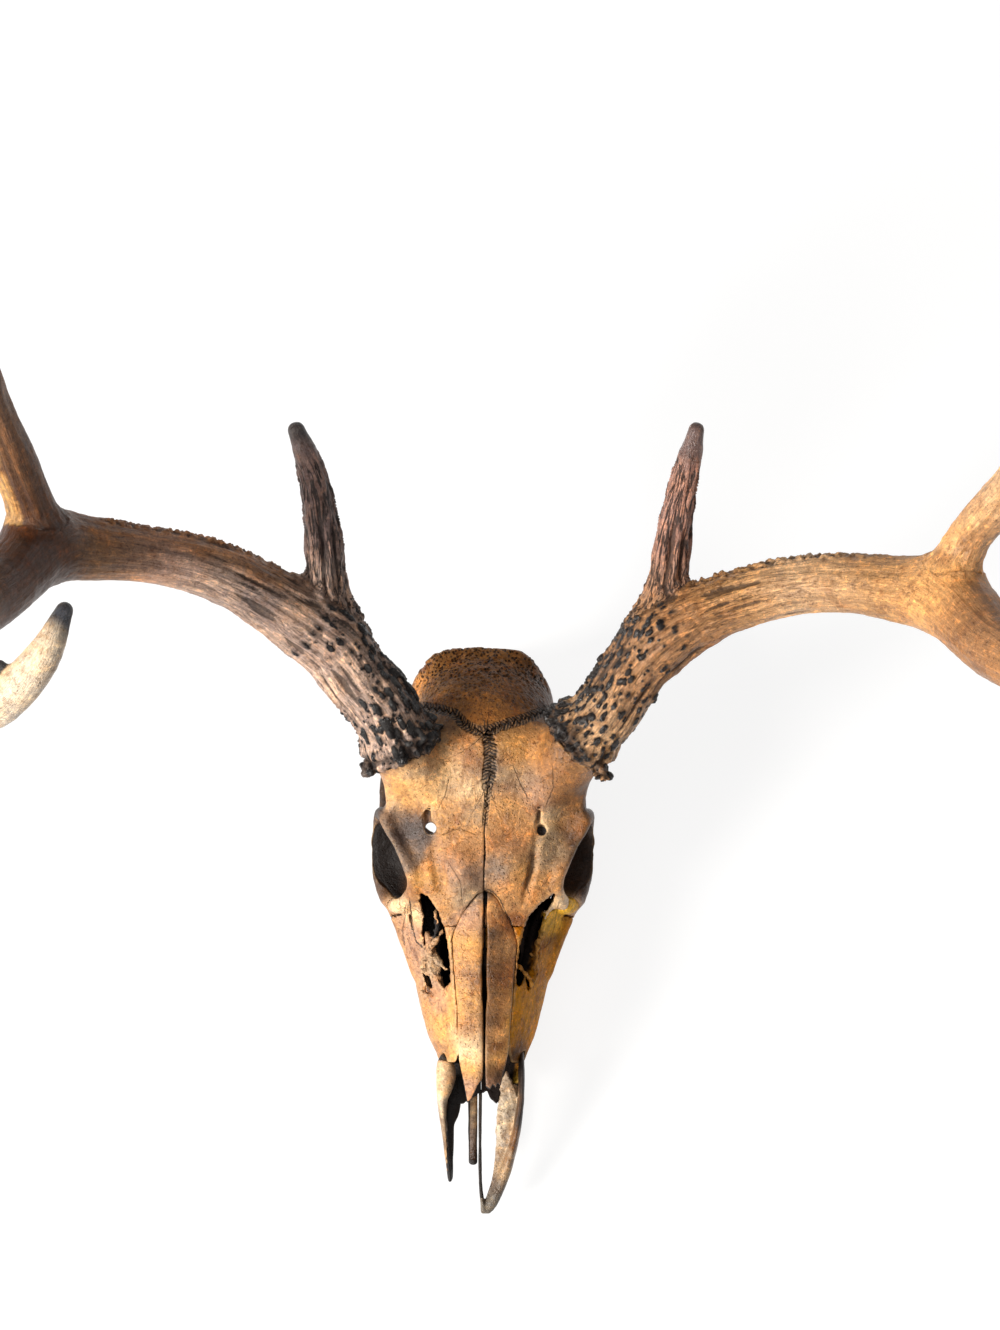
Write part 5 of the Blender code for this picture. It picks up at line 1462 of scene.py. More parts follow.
def antler_relief(grain, number, share, outward, side):
    """Height of the surface over the plain tube, how dark the burr and the inner side are,
    and masks for pearls, furrows, ridges and tips.  All of it is noise in straightened
    places, drawn out along the beam: crests where a slow noise passes through 0, and pearls
    set at random, thickest near the burr and on the side that faces the skull and the
    back."""
    run, u, v = grain.T
    size, wide = PEARL_SIZE[side], PEARL_WIDTH[side]
    beam, brow = number == 0, number == 1
    inner = outward @ np.array([-0.62 * side, 0.66, 0.42])
    near = np.where(beam, run, np.where(brow, 66.0 + 1.6 * run, 400.0))
    zone = 1.05 - near / 92.0 + 0.62 * inner + 0.5 * layered(grain, 22.0, 1, 149)
    cell, label = beads(np.column_stack([run / (2.0 * size), u / size, v / size]), 151)
    cell = cell + 0.06 * noise(grain / 1.5, 153)
    small, small_label = beads(np.column_stack([run / 3.2, u / 2.2, v / 2.2]), 157)
    pearl = 1.0 - ease(cell, 0.24 + wide, 0.50 + wide)
    pearl = pearl * ease(zone + 1.2 * (label - 0.52), 0.15, 0.5)
    few = (1.0 - ease(small, 0.22, 0.46)) * (small_label > PEARL_RARITY[side])
    few = few * ease(zone, 0.0, 0.5)
    rope, rope_label = beads(np.column_stack([run / 11.0, u / 3.4, v / 3.4]), 163)
    rope_zone = 1.5 * inner - near / 58.0 + 0.8 * (rope_label - 0.5)
    ropes = (1.0 - ease(rope, 0.24, 0.50)) * ease(rope_zone, 0.1, 0.6)
    pearl = np.maximum(np.maximum(pearl, 0.8 * few), ropes) * (1 - ease(near, 64, 104))
    tip = ease(share, 0.80, 0.97)
    ridge = np.where(beam, 1.0 - 0.72 * ease(run, 70, 190), np.where(brow, 1.5, 0.35))
    ridge = ridge * (1 - 0.85 * tip)
    slow = layered(np.column_stack([run / 38.0, u / 4.6, v / 4.6]), 1.0, 2, 131)
    quick = layered(np.column_stack([run / 18.0, u / 2.4, v / 2.4]), 1.0, 2, 137)
    relief = 0.62 * (1.0 - 2.8 * np.abs(slow)) + 0.38 * (1.0 - 2.4 * np.abs(quick))
    height = 1.55 * ridge * (relief - 0.25)
    height += (0.7 + 0.22 * size) * pearl * (0.45 + 0.55 * label)
    edge_run = ease(run, 88, 104) * (1 - ease(run, CRUMBLY_END[side], 215)) * beam
    crumbly = edge_run * ease(outward @ np.array([0.0, 0.96, 0.28]), 0.74, 0.94)
    height += crumbly * (1.9 * (1 - ease(small, 0.2, 0.7)) + 1.0 * quick)
    turn = np.arctan2(v, u)
    ring = np.column_stack([np.cos(turn) * 3.5, np.sin(turn) * 3.5, run / 5.0])
    knob, knob_label = beads(ring, 171)
    burr = np.exp(-((run - 4.5) / 5.0) ** 2) * beam
    lump = 1.0 - ease(knob, 0.20, 0.72)
    crown = (4.2 + 1.6 * ease(inner, -0.2, 0.5)) * lump * (0.35 + 0.65 * knob_label)
    height += burr * (crown - 1.4)
    height += 0.7 * layered(grain, 26.0, 2, 181) + 0.14 * layered(grain, 3.0, 1, 187)
    height *= 1.0 - 0.7 * ease(share, 0.92, 1.0)
    groove = ease(-relief, -0.16, 0.30) * np.minimum(ridge * 1.4, 1.0)
    groove = np.where(brow, ease(-relief, -0.30, 0.15) * np.minimum(ridge, 1.0), groove)
    groove = np.maximum(groove, burr * ease(-lump, -0.45, -0.05))
    groove = np.maximum(groove, crumbly * ease(small, 0.35, 0.65))
    pearl = np.maximum(pearl, burr * lump * ease(inner, -0.55, 0.1))
    # painted shade on the inner side of the beam near its base, and on the inner side of the burr
    shade = INNER_SHADE[side] * ease(1.3 * inner - near / 120.0, 0.15, 1.0)
    shade = np.maximum(burr * ease(inner, -0.7, 0.2), shade)
    return height, shade, {"pearl": pearl, "groove": groove, "ridge": ridge, "tip": tip}


def build_antler(word, side, beam, tines, finish, colours):
    """One antler as a piece."""
    block, paths = antler_field(side, beam, tines)
    points, faces = surface(block.field, block.low, block.step)
    grain, number, share, outward = straightened(points, paths)
    height, shade, values = antler_relief(grain, number, share, outward, side)
    points = raised(points, faces, height)
    tint = antler_colours(points, grain, number, share, shade, colours)
    if side < 0:
        tint = right_antler_light(tint, points, grain[:, 0], number, outward)
    values["tint"] = tint
    grain[:, 0] += number * 700.0     # so that no two tines share a pattern
    values["grain"] = grain
    names = ["base", "beam", "front_beam", "beam_tip"] + list(tines)
    nodes = ["antler_" + word + "_" + name for name in names]
    make_piece("antler_" + word + "_whole", points, faces, finish, nodes, values)


def right_antler_light(tint, points, run, number, outward):
    """What only the deer's right antler has: gold painted as light on the outer side of its
    second tine, a beam that is rust behind and grey in front, and a dark knob."""
    # painted light: gold on the side of the second tine that faces the key light
    sunny = 0.8 * (number == 2) * ease(-outward[:, 0] + 0.3 * noise(points / 7.0, 97), 0.1, 0.6)
    tint = tint + (np.array(GOLD) - tint) * sunny[:, None]
    lower = ease(0.25 * noise(points / 9.0, 98) - outward[:, 1], -0.35, 0.35)[:, None]
    hue = (1 - lower) * (1.0, 0.80, 0.58) + lower * (0.84, 0.98, 1.25)
    far = ease(run, 90.0, 125.0) * (1 - 0.6 * ease(run, 150.0, 190.0))
    far = (far * (number == 0))[:, None]
    tint = tint * (1 + far * (hue - 1))
    knob = 1 - ease(np.linalg.norm(points - BURR_KNOB[-1][0], axis=1), 5.0, 8.0)
    return tint * (1 - 0.85 * knob)[:, None]


def antler_colours(points, grain, number, share, shade, colours):
    """Colour along the antler: (run along the beam, colour) stops, with each tine's own
    start, middle and end colour, stirred by noise."""
    stops, tine_colours = colours
    run = grain[:, 0] + 14.0 * layered(points, 30.0, 2, 211)
    out = np.column_stack([np.interp(run, [a for a, _ in stops], [c[m] for _, c in stops])
                           for m in range(3)])
    for k, (first, middle, last) in enumerate(tine_colours, start=1):
        stirred = share + 0.08 * layered(points, 16.0, 2, 223)
        mix = np.column_stack([np.interp(stirred, [0.12, 0.5, 0.86, 0.95],
                                         [first[m], middle[m], middle[m], last[m]])
                               for m in range(3)])
        out = np.where((number == k)[:, None], mix, out)
    # the burr's own dark, and painted shade on the inner side that faces the skull
    return out + (np.array(BURR_AND_SHADE_DARK) - out) * (0.7 * shade)[:, None]


# --- Finishes -----------------------------------------------------------------
class Nodes:
    """A shader tree, with short ways to add its nodes.  Each returns the node's output,
    and a socket given in place of a number is linked."""

    def __init__(self, tree):
        self.tree = tree

    def add(self, kind, settings=None, **inputs):
        """Any node, with its settings and, by name, what its inputs are given."""
        node = self.tree.nodes.new(kind)
        for key, value in (settings or {}).items():
            setattr(node, key, value)
        for key, value in inputs.items():
            self.feed(node.inputs[key.replace("_", " ")], value)
        return node

    def feed(self, socket, value):
        """A socket set to a number, or linked to another socket."""
        if isinstance(value, bpy.types.NodeSocket):
            self.tree.links.new(value, socket)
        else:
            socket.default_value = value

    def maths(self, operation, a, b=0.5, c=0.0, clamp=False):
        """One Math node, kept between 0 and 1 if it is clamped."""
        node = self.tree.nodes.new("ShaderNodeMath")
        node.operation, node.use_clamp = operation, clamp
        for socket, value in zip(node.inputs, (a, b, c)):
            self.feed(socket, value)
        return node.outputs[0]

    def times(self, a, b, clamp=False):
        return self.maths('MULTIPLY', a, b, clamp=clamp)

    def plus(self, a, b):
        return self.maths('ADD', a, b)

    def less(self, a, b, clamp=False):
        return self.maths('SUBTRACT', a, b, clamp=clamp)

    def most(self, a, b):
        return self.maths('MAXIMUM', a, b)

    def line(self, value, middle, outer, inner):
        """1 where the value is within `inner` of the middle, 0 where it is past `outer`."""
        return self.ramp(self.maths('ABSOLUTE', self.less(value, middle)), outer, inner)

    def ramp(self, value, low, high, to_low=0.0, to_high=1.0):
        """A smooth rise from one value to another as the input goes from low to high."""
        node = self.tree.nodes.new("ShaderNodeMapRange")
        node.interpolation_type = 'SMOOTHSTEP'
        for socket, item in zip(node.inputs, (value, low, high, to_low, to_high)):
            self.feed(socket, item)
        return node.outputs[0]

    def mix(self, factor, a, b, way='MIX'):
        """Two colours mixed by a factor."""
        node = self.tree.nodes.new("ShaderNodeMix")
        node.data_type, node.blend_type = 'RGBA', way
        for key, value in ((0, factor), (6, a), (7, b)):
            if isinstance(value, tuple) and len(value) == 3:
                value = (*value, 1.0)
            self.feed(node.inputs[key], value)
        return node.outputs[2]

    def cloud(self, vector, scale, detail=4.0, rough=0.55, twist=0.0):
        """Cloudy noise round 0.5."""
        node = self.tree.nodes.new("ShaderNodeTexNoise")
        self.feed(node.inputs["Vector"], vector)
        for key, value in (("Scale", scale), ("Detail", detail), ("Roughness", rough),
                           ("Distortion", twist)):
            self.feed(node.inputs[key], value)
        return node.outputs["Fac"]

    def pits(self, vector, scale):
        """Distance to the nearest of many points set at random."""
        node = self.tree.nodes.new("ShaderNodeTexVoronoi")
        self.feed(node.inputs["Vector"], vector)
        self.feed(node.inputs["Scale"], scale)
        return node.outputs["Distance"]

    def stretched(self, vector, scale):
        """Places scaled along each axis, so that a pattern is drawn out along one."""
        node = self.tree.nodes.new("ShaderNodeMapping")
        self.feed(node.inputs["Vector"], vector)
        node.inputs["Scale"].default_value = scale
        return node.outputs[0]

    def value_of(self, name, kind="Fac"):
        """What the mesh holds under a name, at each point."""
        node = self.tree.nodes.new("ShaderNodeAttribute")
        node.attribute_name = name
        return node.outputs[kind]


def new_group(name, takes, gives):
    """An empty shader node group with named inputs and outputs."""
    tree = bpy.data.node_groups.new(name, 'ShaderNodeTree')
    kinds = {"value": 'NodeSocketFloat', "colour": 'NodeSocketColor', "vector": 'NodeSocketVector'}
    for key, kind, start in takes:
        socket = tree.interface.new_socket(name=key, in_out='INPUT', socket_type=kinds[kind])
        if start is not None:
            socket.default_value = start
    for key, kind in gives:
        tree.interface.new_socket(name=key, in_out='OUTPUT', socket_type=kinds[kind])
    return tree


# stain in pores, stain and painted shade in hollows, and dark for cracks, sutures and painted shade
PORE = (0.035, 0.018, 0.010)
HOLLOW_STAIN_AND_SHADE = (0.022, 0.012, 0.007)
CRACK_AND_SHADE = (0.012, 0.008, 0.007)


def weathering_and_shade_group():
    """Stain and painted shade in hollows and cracks, mottling, small pores and pale scratches with
    painted glints.
    """
    takes = [("Colour", "colour", (0.6, 0.3, 0.1, 1.0)), ("Place", "vector", None),
             ("Hollow", "value", 0.5), ("Dark", "value", 0.0), ("Pores", "value", 0.5),
             ("Mottle", "value", 0.5)]
    gives = [("Colour", "colour"), ("Height", "value"), ("Roughness", "value")]
    tree = new_group("weathering_and_shade", takes, gives)
    n = Nodes(tree)
    given = n.add("NodeGroupInput").outputs
    place = given["Place"]
    broad = n.cloud(place, 55.0, 5.0, 0.6, 0.4)
    fine = n.cloud(place, 330.0, 5.0, 0.68, 0.2)
    grit = n.cloud(place, 1000.0, 3.0, 0.65)
    blush = n.cloud(place, 120.0, 4.0, 0.6, 0.5)
    mottle = given["Mottle"]
    # pattern, where its wash starts and is full, how strong it is there, its colour
    washes = [
        (broad, 0.48, 0.68, mottle, (1.45, 1.30, 1.06)),
        (broad, 0.50, 0.32, mottle, (0.52, 0.40, 0.31)),
        (blush, 0.54, 0.66, mottle, (1.13, 0.97, 0.80)),
        (blush, 0.45, 0.34, mottle, (0.74, 0.78, 0.90)),
        (fine, 0.52, 0.66, 0.68, (0.44, 0.34, 0.27)),
        (fine, 0.47, 0.34, 0.95, (1.65, 1.52, 1.30)),
        (grit, 0.54, 0.66, 0.4, (0.5, 0.42, 0.36)),
        (grit, 0.44, 0.34, 0.5, (1.5, 1.4, 1.3)),
    ]
    tone = given["Colour"]
    for pattern, start, full, strength, colour in washes:
        tone = n.mix(n.ramp(pattern, start, full, 0.0, strength), tone, colour, 'MULTIPLY')
    where = n.ramp(n.cloud(place, 70.0, 3.0), 0.42, 0.58)
    wrinkle = n.cloud(place, 95.0, 3.0, 0.55, 1.2)
    hair = n.line(wrinkle, 0.5, 0.014, 0.003)
    hair = n.times(n.times(hair, n.ramp(blush, 0.5, 0.6)), given["Pores"])
    # pale scratches along thin lines, partly painted glints
    scratch_glint = n.cloud(place, 150.0, 2.0, 0.5, 2.2)
    scratch_glint = n.line(scratch_glint, 0.5, 0.010, 0.002)
    scratch_glint = n.times(scratch_glint, n.ramp(blush, 0.48, 0.40, 0.0, 0.9))
    tone = n.mix(scratch_glint, tone, (2.0, 1.8, 1.55), 'MULTIPLY')
    pore = n.ramp(n.pits(place, 560.0), 0.26, 0.12)
    pore = n.times(n.times(pore, where), given["Pores"], clamp=True)
    pore = n.most(pore, n.times(hair, 0.7))
    tone = n.mix(n.times(pore, 0.85), tone, PORE)
    # stain and painted shade: darker where more bone is round a place
    deep = n.ramp(n.plus(given["Hollow"], n.times(n.less(fine, 0.5), 0.12)), 0.56, 0.80)
    tone = n.mix(n.times(deep, 0.92), tone, HOLLOW_STAIN_AND_SHADE)
    # Dark carries sutures, cracks, furrows and painted shade
    dark = n.maths('MINIMUM', given["Dark"], 1.0)
    tone = n.mix(dark, tone, CRACK_AND_SHADE)
    height = n.maths('MULTIPLY_ADD', fine, 0.55, n.times(grit, 0.22))
    height = n.less(height, n.times(pore, 0.7))
    height = n.less(height, n.times(dark, 0.8))
    roughness = n.ramp(broad, 0.35, 0.7, 0.30, 0.50)
    roughness = n.plus(roughness, n.times(n.most(deep, dark), 0.25))
    n.add("NodeGroupOutput", Colour=tone, Height=height, Roughness=roughness)
    return tree


def suture_group():
    """Sutures, from the offset to the line, the run along it and the half-width of its
    band, all in millimetres.  A wide band is filled with fine ridges that cross it and
    meet at a jagged middle line.  A narrow one is a single crack that wanders."""
    takes = [("Suture", "vector", None), ("Mark", "value", 0.0), ("Place", "vector", None)]
    tree = new_group("suture", takes, [("Dark", "value"), ("Light", "value")])
    n = Nodes(tree)
    given = n.add("NodeGroupInput").outputs
    off, run, band = n.add("ShaderNodeSeparateXYZ", Vector=given["Suture"]).outputs
    fine = n.less(n.cloud(given["Place"], 700.0, 2.0), 0.5)
    slow = n.less(n.cloud(given["Place"], 240.0, 2.0), 0.5)
    share = n.maths('DIVIDE', n.maths('ABSOLUTE', off), band)
    lean = n.times(share, 0.9)
    phase = n.plus(n.maths('DIVIDE', run, 1.75), lean)
    phase = n.plus(phase, n.maths('MULTIPLY_ADD', fine, 0.8, n.times(slow, 1.6)))
    tooth = n.maths('PINGPONG', phase, 0.5)
    ridge = n.ramp(tooth, 0.34, 0.16)
    reach = n.ramp(n.plus(share, n.times(slow, 0.9)), 1.15, 0.8)
    wide = n.ramp(band, 1.0, 1.4)
    stripes = n.times(n.times(ridge, reach), wide)
    swing = n.less(n.maths('PINGPONG', n.maths('DIVIDE', run, 1.9), 0.5), 0.25)
    swing = n.times(swing, n.times(band, 1.1))
    swing = n.plus(swing, n.times(fine, 1.1))
    line = n.line(off, swing, 0.42, 0.12)
    soft = n.times(n.times(reach, wide), 0.48)
    dark = n.most(n.most(n.times(stripes, 0.95), line), soft)
    light = n.times(n.times(n.ramp(tooth, 0.36, 0.48), reach), wide)
    light = n.times(light, 0.5)
    n.add("NodeGroupOutput", Dark=n.times(dark, given["Mark"]), Light=light)
    return tree


def principled(name):
    """A new material's tree and its Principled shader."""
    mat = bpy.data.materials.new(name)
    mat.use_nodes = True
    return mat, Nodes(mat.node_tree), mat.node_tree.nodes["Principled BSDF"]


def bone_finish(weathering_and_shade, suture, name, wash, pores, mottle, shine):
    """Old stained bone: pale where it is worn, dark in its sutures, and dark with stain and painted
    shade in its hollows, creases and deep inner places.  The wash multiplies its colour, and the
    shine is its specular level."""
    mat, n, shader = principled(name)
    place = n.add("ShaderNodeTexCoord").outputs["Object"]
    hollow, edge = n.value_of("hollow"), n.value_of("edge")
    tint = n.mix(1.0, n.value_of("tint", "Color"), wash, 'MULTIPLY')
    streak = n.cloud(n.stretched(place, (1.0, 0.22, 1.0)), 420.0, 4.0, 0.6, 0.3)
    tint = n.mix(n.ramp(streak, 0.52, 0.75, 0.0, 0.45), tint, (0.6, 0.5, 0.42), 'MULTIPLY')
    worn = n.ramp(edge, 0.44, 0.34)
    tint = n.mix(n.times(worn, 0.25), tint, (0.66, 0.46, 0.25))
    enamel = n.ramp(n.cloud(place, 300.0, 4.0), 0.4, 0.7)
    enamel = n.mix(enamel, (0.62, 0.45, 0.24), (0.24, 0.13, 0.06))
    tint = n.mix(n.value_of("tooth"), tint, enamel)
    lines = n.add("ShaderNodeGroup", {"node_tree": suture}, Suture=n.value_of("suture", "Vector"),
                  Mark=n.value_of("mark"), Place=place)
    tint = n.mix(lines.outputs["Light"], tint, (0.62, 0.45, 0.28))
    # painted shade in creases and in deep inner places
    crease_shade = n.ramp(edge, 0.55, 0.66)
    inner = n.ramp(n.value_of("shade_depth"), 1.3, 4.4)
    dark = n.most(lines.outputs["Dark"], n.times(crease_shade, 0.6))
    dark = n.most(dark, inner)
    rugged = n.value_of("rugged")
    holes = n.times(n.ramp(n.pits(place, 560.0), 0.50, 0.26), rugged)
    dark = n.most(dark, n.times(holes, 0.8))
    aged = n.add("ShaderNodeGroup", {"node_tree": weathering_and_shade}, Colour=tint, Place=place,
                 Hollow=hollow, Dark=dark, Pores=pores, Mottle=mottle)
    n.feed(shader.inputs["Base Color"], aged.outputs["Colour"])
    n.feed(shader.inputs["Roughness"], aged.outputs["Roughness"])
    shader.inputs["Specular IOR Level"].default_value = shine
    bump = n.add("ShaderNodeBump", Height=aged.outputs["Height"])
    bump.inputs["Strength"].default_value = 0.9
    bump.inputs["Distance"].default_value = 0.0017
    n.feed(shader.inputs["Normal"], bump.outputs["Normal"])
    return mat


def antler_finish(weathering_and_shade, name, furrow_colour, pearl_colour, contrast):
    """Antler: streaked along its length, dark in its furrows and pale on its crests, with
    dark glossy pearls edged with painted shade."""
    mat, n, shader = principled(name)
    place = n.add("ShaderNodeTexCoord").outputs["Object"]
    grain = n.value_of("grain", "Vector")
    groove, pearl, tip = n.value_of("groove"), n.value_of("pearl"), n.value_of("tip")
    ridge = n.value_of("ridge")
    lines = n.cloud(n.stretched(grain, (0.035, 0.42, 0.42)), 1.0, 3.0, 0.55, 0.15)
    fibres = n.cloud(n.stretched(grain, (0.10, 1.5, 1.5)), 1.0, 4.0, 0.65, 0.2)
    tint = n.value_of("tint", "Color")
    plain = n.less(1.0, n.times(tip, 0.8))
    tint = n.mix(n.times(n.ramp(lines, 0.50, 0.62, 0.0, contrast), plain), tint,
                 (1.6, 1.5, 1.36), 'MULTIPLY')
    tint = n.mix(n.times(n.ramp(lines, 0.47, 0.33, 0.0, contrast), plain), tint, furrow_colour)
    deeper = n.times(n.ramp(fibres, 0.52, 0.66, 0.0, 0.45), n.ramp(ridge, 0.1, 0.8, 0.5, 1.0))
    tint = n.mix(deeper, tint, (0.52, 0.44, 0.38), 'MULTIPLY')
    paler = n.times(n.ramp(fibres, 0.48, 0.34, 0.0, 0.6), n.ramp(ridge, 0.1, 0.8, 0.4, 1.0))
    tint = n.mix(paler, tint, (1.5, 1.42, 1.32), 'MULTIPLY')
    veins = n.line(lines, 0.48, 0.017, 0.005)
    veins = n.times(veins, n.ramp(ridge, 0.25, 0.8, 0.08, 0.75))
    deep = n.line(lines, 0.52, 0.048, 0.018)
    veins = n.most(veins, n.times(deep, n.ramp(ridge, 1.0, 1.3)))
    hairs = n.line(fibres, 0.5, 0.013, 0.003)
    hairs = n.times(hairs, n.ramp(ridge, 0.1, 0.8, 0.2, 0.5))
    dark = n.times(n.ramp(groove, 0.30, 0.85), 0.85)
    dark = n.most(dark, n.most(veins, hairs))
    # painted shade round the foot of each pearl
    halo = n.times(n.ramp(pearl, 0.02, 0.20), 0.6)
    dark = n.most(dark, halo)
    aged = n.add("ShaderNodeGroup", {"node_tree": weathering_and_shade}, Colour=tint, Place=place,
                 Hollow=0.5, Dark=n.times(dark, 0.9), Pores=0.6, Mottle=0.5)
    bead = n.plus(pearl, n.times(n.less(fibres, 0.5), 0.4))
    beads = n.ramp(bead, 0.22, 0.48)
    # each pearl near black at its edge as painted shade, its own dark colour at its top
    crown = n.mix(n.ramp(bead, 0.55, 1.1), (0.008, 0.006, 0.006), pearl_colour)
    n.feed(shader.inputs["Base Color"], n.mix(beads, aged.outputs["Colour"], crown))
    rough = n.less(aged.outputs["Roughness"], n.times(beads, 0.26))
    rough = n.less(rough, n.times(tip, 0.12), clamp=True)
    n.feed(shader.inputs["Roughness"], rough)
    shader.inputs["Specular IOR Level"].default_value = 0.38
    height = n.less(lines, n.times(veins, 0.5))
    height = n.plus(height, n.times(fibres, 0.6))
    height = n.less(height, n.times(hairs, 0.25))
    height = n.plus(height, n.times(aged.outputs["Height"], 0.4))
    bump = n.add("ShaderNodeBump", Height=height)
    bump.inputs["Strength"].default_value = 0.75
    bump.inputs["Distance"].default_value = 0.0012
    n.feed(shader.inputs["Normal"], bump.outputs["Normal"])
    return mat


def floor_finish():
    """A pale floor with a glow of its own, so that the shadow on it stays faint."""
    mat, n, shader = principled("pale_floor")
    place = n.add("ShaderNodeTexCoord").outputs["Object"]
    n.feed(shader.inputs["Base Color"], n.mix(n.cloud(place, 2.0, 2.0), *FLOOR_TONES))
    shader.inputs["Roughness"].default_value = 0.9
    shader.inputs["Specular IOR Level"].default_value = 0.1
    shader.inputs["Emission Color"].default_value = WHITE
    shader.inputs["Emission Strength"].default_value = FLOOR_GLOW
    return mat


# --- Floor, lights and camera, in metres --------------------------------------
WHITE = (1.0, 1.0, 1.0, 1.0)
FLOOR_HALF = 6.0
FLOOR_LEVEL = -0.0002
FLOOR_TONES = ((0.19, 0.19, 0.19), (0.22, 0.22, 0.22))
FLOOR_GLOW = 0.86
SKY_GLOW = 0.15
# name, place, side, power in watts, colour
LIGHTS = [
    ("key", (-2.2, -1.2, 1.55), 0.8, 138.0, (1.0, 0.965, 0.91)),
    ("over", (-0.4, 0.1, 2.6), 1.4, 14.0, (1.0, 0.985, 0.96)),
]
LIGHTS_AIM = (0.0, 0.0, 0.1)
# the photograph's view: angles in degrees, and what the camera looks at
CAMERA_AROUND = -8.58
CAMERA_ABOVE = 73.0
CAMERA_ROLL = 8.77
CAMERA_DISTANCE = 1.35
CAMERA_AIM = (0.0076, 0.093, 0.095)
LENS_MM = 92.34
SENSOR_MM = 36.0


def add_stage():
    """A wide plain floor just under the teeth."""
    mesh = bpy.data.meshes.new("floor")
    corners = [(x * FLOOR_HALF, y * FLOOR_HALF, FLOOR_LEVEL)
               for x, y in ((-1, -1), (1, -1), (1, 1), (-1, 1))]
    mesh.from_pydata(corners, [], [(0, 1, 2, 3)])
    mesh.materials.append(floor_finish())
    floor = bpy.data.objects.new("floor", mesh)
    bpy.context.scene.collection.objects.link(floor)


def area_light(name, place, side, power, colour):
    """A square soft light, aimed at the skull."""
    light = bpy.data.lights.new(name, 'AREA')
    light.shape = 'RECTANGLE'
    light.size, light.size_y = side, side
    light.energy = power
    light.color = colour
    lamp = bpy.data.objects.new(name, light)
    lamp.location = place
    ahead = Vector(LIGHTS_AIM) - Vector(place)
    lamp.rotation_euler = ahead.to_track_quat('-Z', 'Y').to_euler()
    bpy.context.scene.collection.objects.link(lamp)


def add_lights():
    """A strong soft light from the deer's right and in front, a weak one overhead, and a
    dim sky."""
    for row in LIGHTS:
        area_light(*row)
    world = bpy.data.worlds.new("studio")
    world.use_nodes = True
    back = world.node_tree.nodes["Background"]
    back.inputs["Color"].default_value = WHITE
    back.inputs["Strength"].default_value = SKY_GLOW
    bpy.context.scene.world = world


def add_camera():
    """The photograph's view: steeply down on the skull, turned a little."""
    around, above, roll = map(math.radians, (CAMERA_AROUND, CAMERA_ABOVE, CAMERA_ROLL))
    back = Vector((math.sin(around) * math.cos(above), -math.cos(around) * math.cos(above),
                   math.sin(above)))
    lens = bpy.data.cameras.new("camera")
    lens.sensor_fit = 'HORIZONTAL'
    lens.sensor_width = SENSOR_MM
    lens.lens = LENS_MM
    camera = bpy.data.objects.new("camera", lens)
    camera.location = Vector(CAMERA_AIM) + back * CAMERA_DISTANCE
    camera.rotation_mode = 'QUATERNION'
    camera.rotation_quaternion = ((-back).to_track_quat('-Z', 'Y')
                                  @ Quaternion((0.0, 0.0, 1.0), roll))
    bpy.context.scene.collection.objects.link(camera)
    bpy.context.scene.camera = camera


# --- The model ----------------------------------------------------------------
TAN_LIGHT = (0.64, 0.40, 0.22)
TAN_WARM = (0.54, 0.285, 0.112)
TAN_ORANGE = (0.68, 0.35, 0.13)
TAN_DEEP = (0.36, 0.175, 0.07)
BROWN_WARM = (0.42, 0.23, 0.115)
BROWN_ROSE = (0.50, 0.36, 0.295)
BROWN_DEEP = (0.080, 0.028, 0.008)
PLUM = (0.19, 0.125, 0.115)
GOLD = (0.52, 0.29, 0.10)
IVORY = (0.72, 0.55, 0.37)
SLATE = (0.05, 0.05, 0.056)
# dark of the burr, also used for painted shade on the antlers' inner side
BURR_AND_SHADE_DARK = (0.05, 0.036, 0.03)

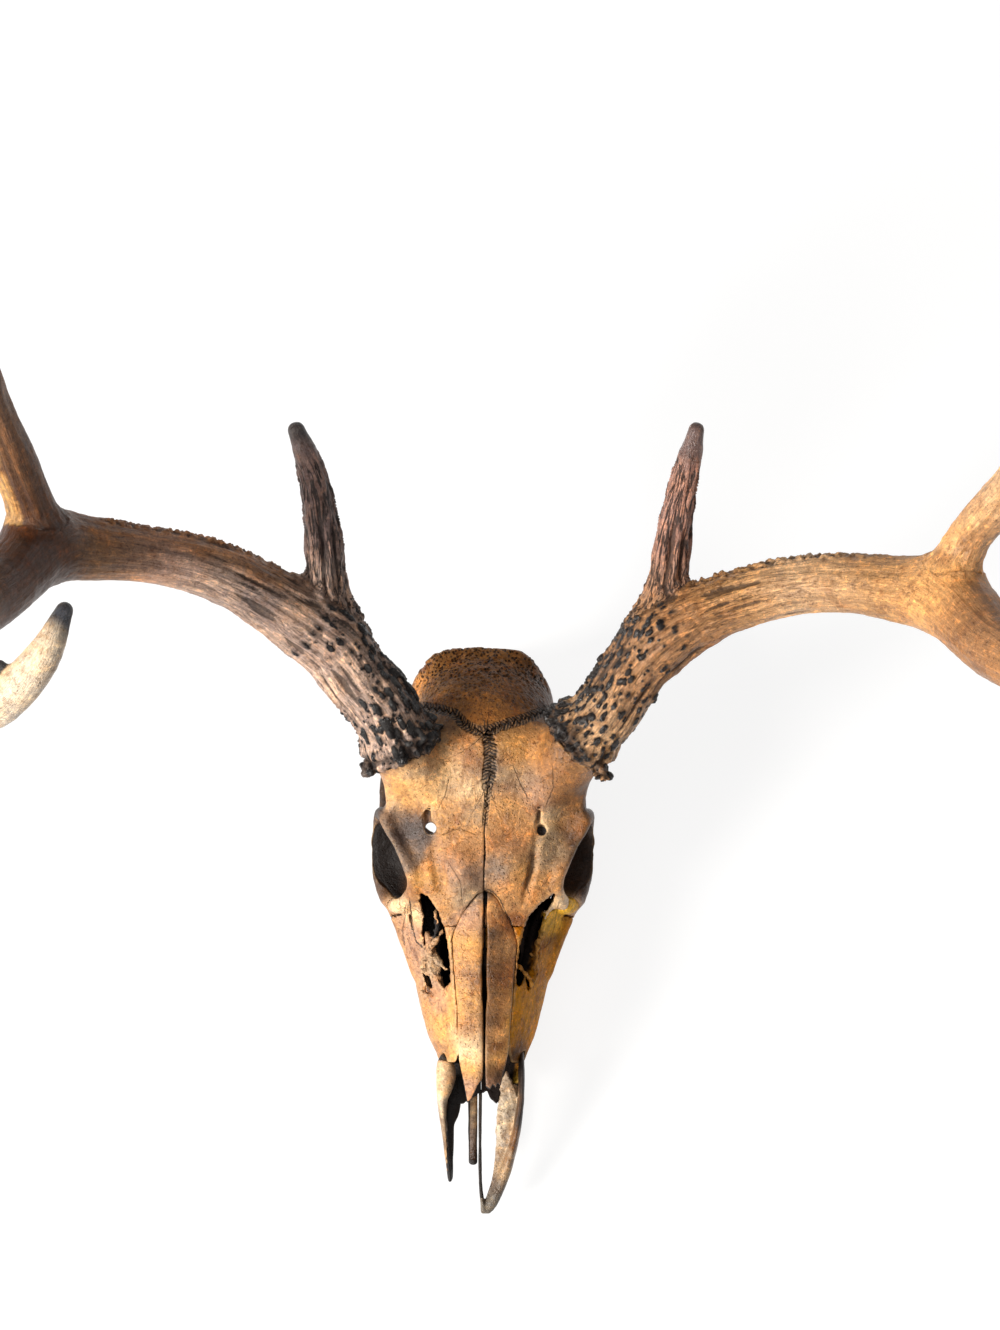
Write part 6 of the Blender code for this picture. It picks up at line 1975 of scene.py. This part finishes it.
# (run along the beam, colour) stops, then the start, middle and end colour of each tine
LEFT_COLOURS = (
    [(0, BROWN_WARM), (20, TAN_LIGHT), (45, BROWN_WARM), (90, TAN_DEEP), (120, TAN_WARM),
     (150, TAN_LIGHT), (190, (0.47, 0.25, 0.10)), (225, TAN_ORANGE), (262, TAN_DEEP),
     (330, TAN_DEEP), (420, IVORY), (478, IVORY), (490, SLATE)],
    [(BROWN_WARM, (0.41, 0.22, 0.17), PLUM), (TAN_ORANGE, TAN_LIGHT, SLATE),
     (TAN_WARM, IVORY, SLATE)])
RIGHT_COLOURS = (
    [(0, BROWN_ROSE), (80, BROWN_ROSE), (115, (0.34, 0.22, 0.155)), (150, (0.48, 0.29, 0.18)),
     (180, (0.43, 0.245, 0.16)), (205, (0.27, 0.135, 0.06)), (235, BROWN_DEEP),
     (300, BROWN_DEEP), (360, BROWN_WARM), (440, IVORY), (516, IVORY), (526, SLATE)],
    [(BROWN_ROSE, PLUM, (0.055, 0.043, 0.042)), (BROWN_DEEP, (0.20, 0.10, 0.05), SLATE),
     (BROWN_DEEP, IVORY, SLATE), (IVORY, IVORY, SLATE)])
# by the record's slot: name, wash, pores, mottle and shine of the bone
BONE_FINISHES = {
    "bone_amber": ("amber_bone", (1.0, 1.0, 0.98), 0.5, 0.75, 0.45),
    "bone_brown": ("brown_bone", (1.20, 1.10, 0.88), 0.7, 1.0, 0.25),
    "bone_ochre": ("ochre_bone", (1.0, 0.82, 0.14), 0.4, 0.6, 0.05),
}
# name, furrow colour, pearl colour and contrast of the antlers
ANTLER_FINISHES = [
    ("dark_antler", (0.085, 0.048, 0.038), (0.030, 0.027, 0.026), 0.52),
    ("tan_antler", (0.20, 0.095, 0.034), (0.034, 0.026, 0.022), 0.25),
]


def build():
    """The finishes, the pieces, and what they stand in."""
    weathering_and_shade, suture = weathering_and_shade_group(), suture_group()
    finishes = {slot: bone_finish(weathering_and_shade, suture, *row)
                for slot, row in BONE_FINISHES.items()}
    build_skull(finishes)
    dark, tan = [antler_finish(weathering_and_shade, *row) for row in ANTLER_FINISHES]
    build_antler("right", -1, BEAM_RIGHT, TINES_RIGHT, dark, RIGHT_COLOURS)
    build_antler("left", 1, BEAM_LEFT, TINES_LEFT, tan, LEFT_COLOURS)
    add_stage()
    add_lights()
    add_camera()
    scene = bpy.context.scene
    scene.view_settings.view_transform = 'Standard'
    scene.view_settings.look = 'None'
    scene.view_settings.exposure = 0.0


build()
bpy.context.view_layer.update()
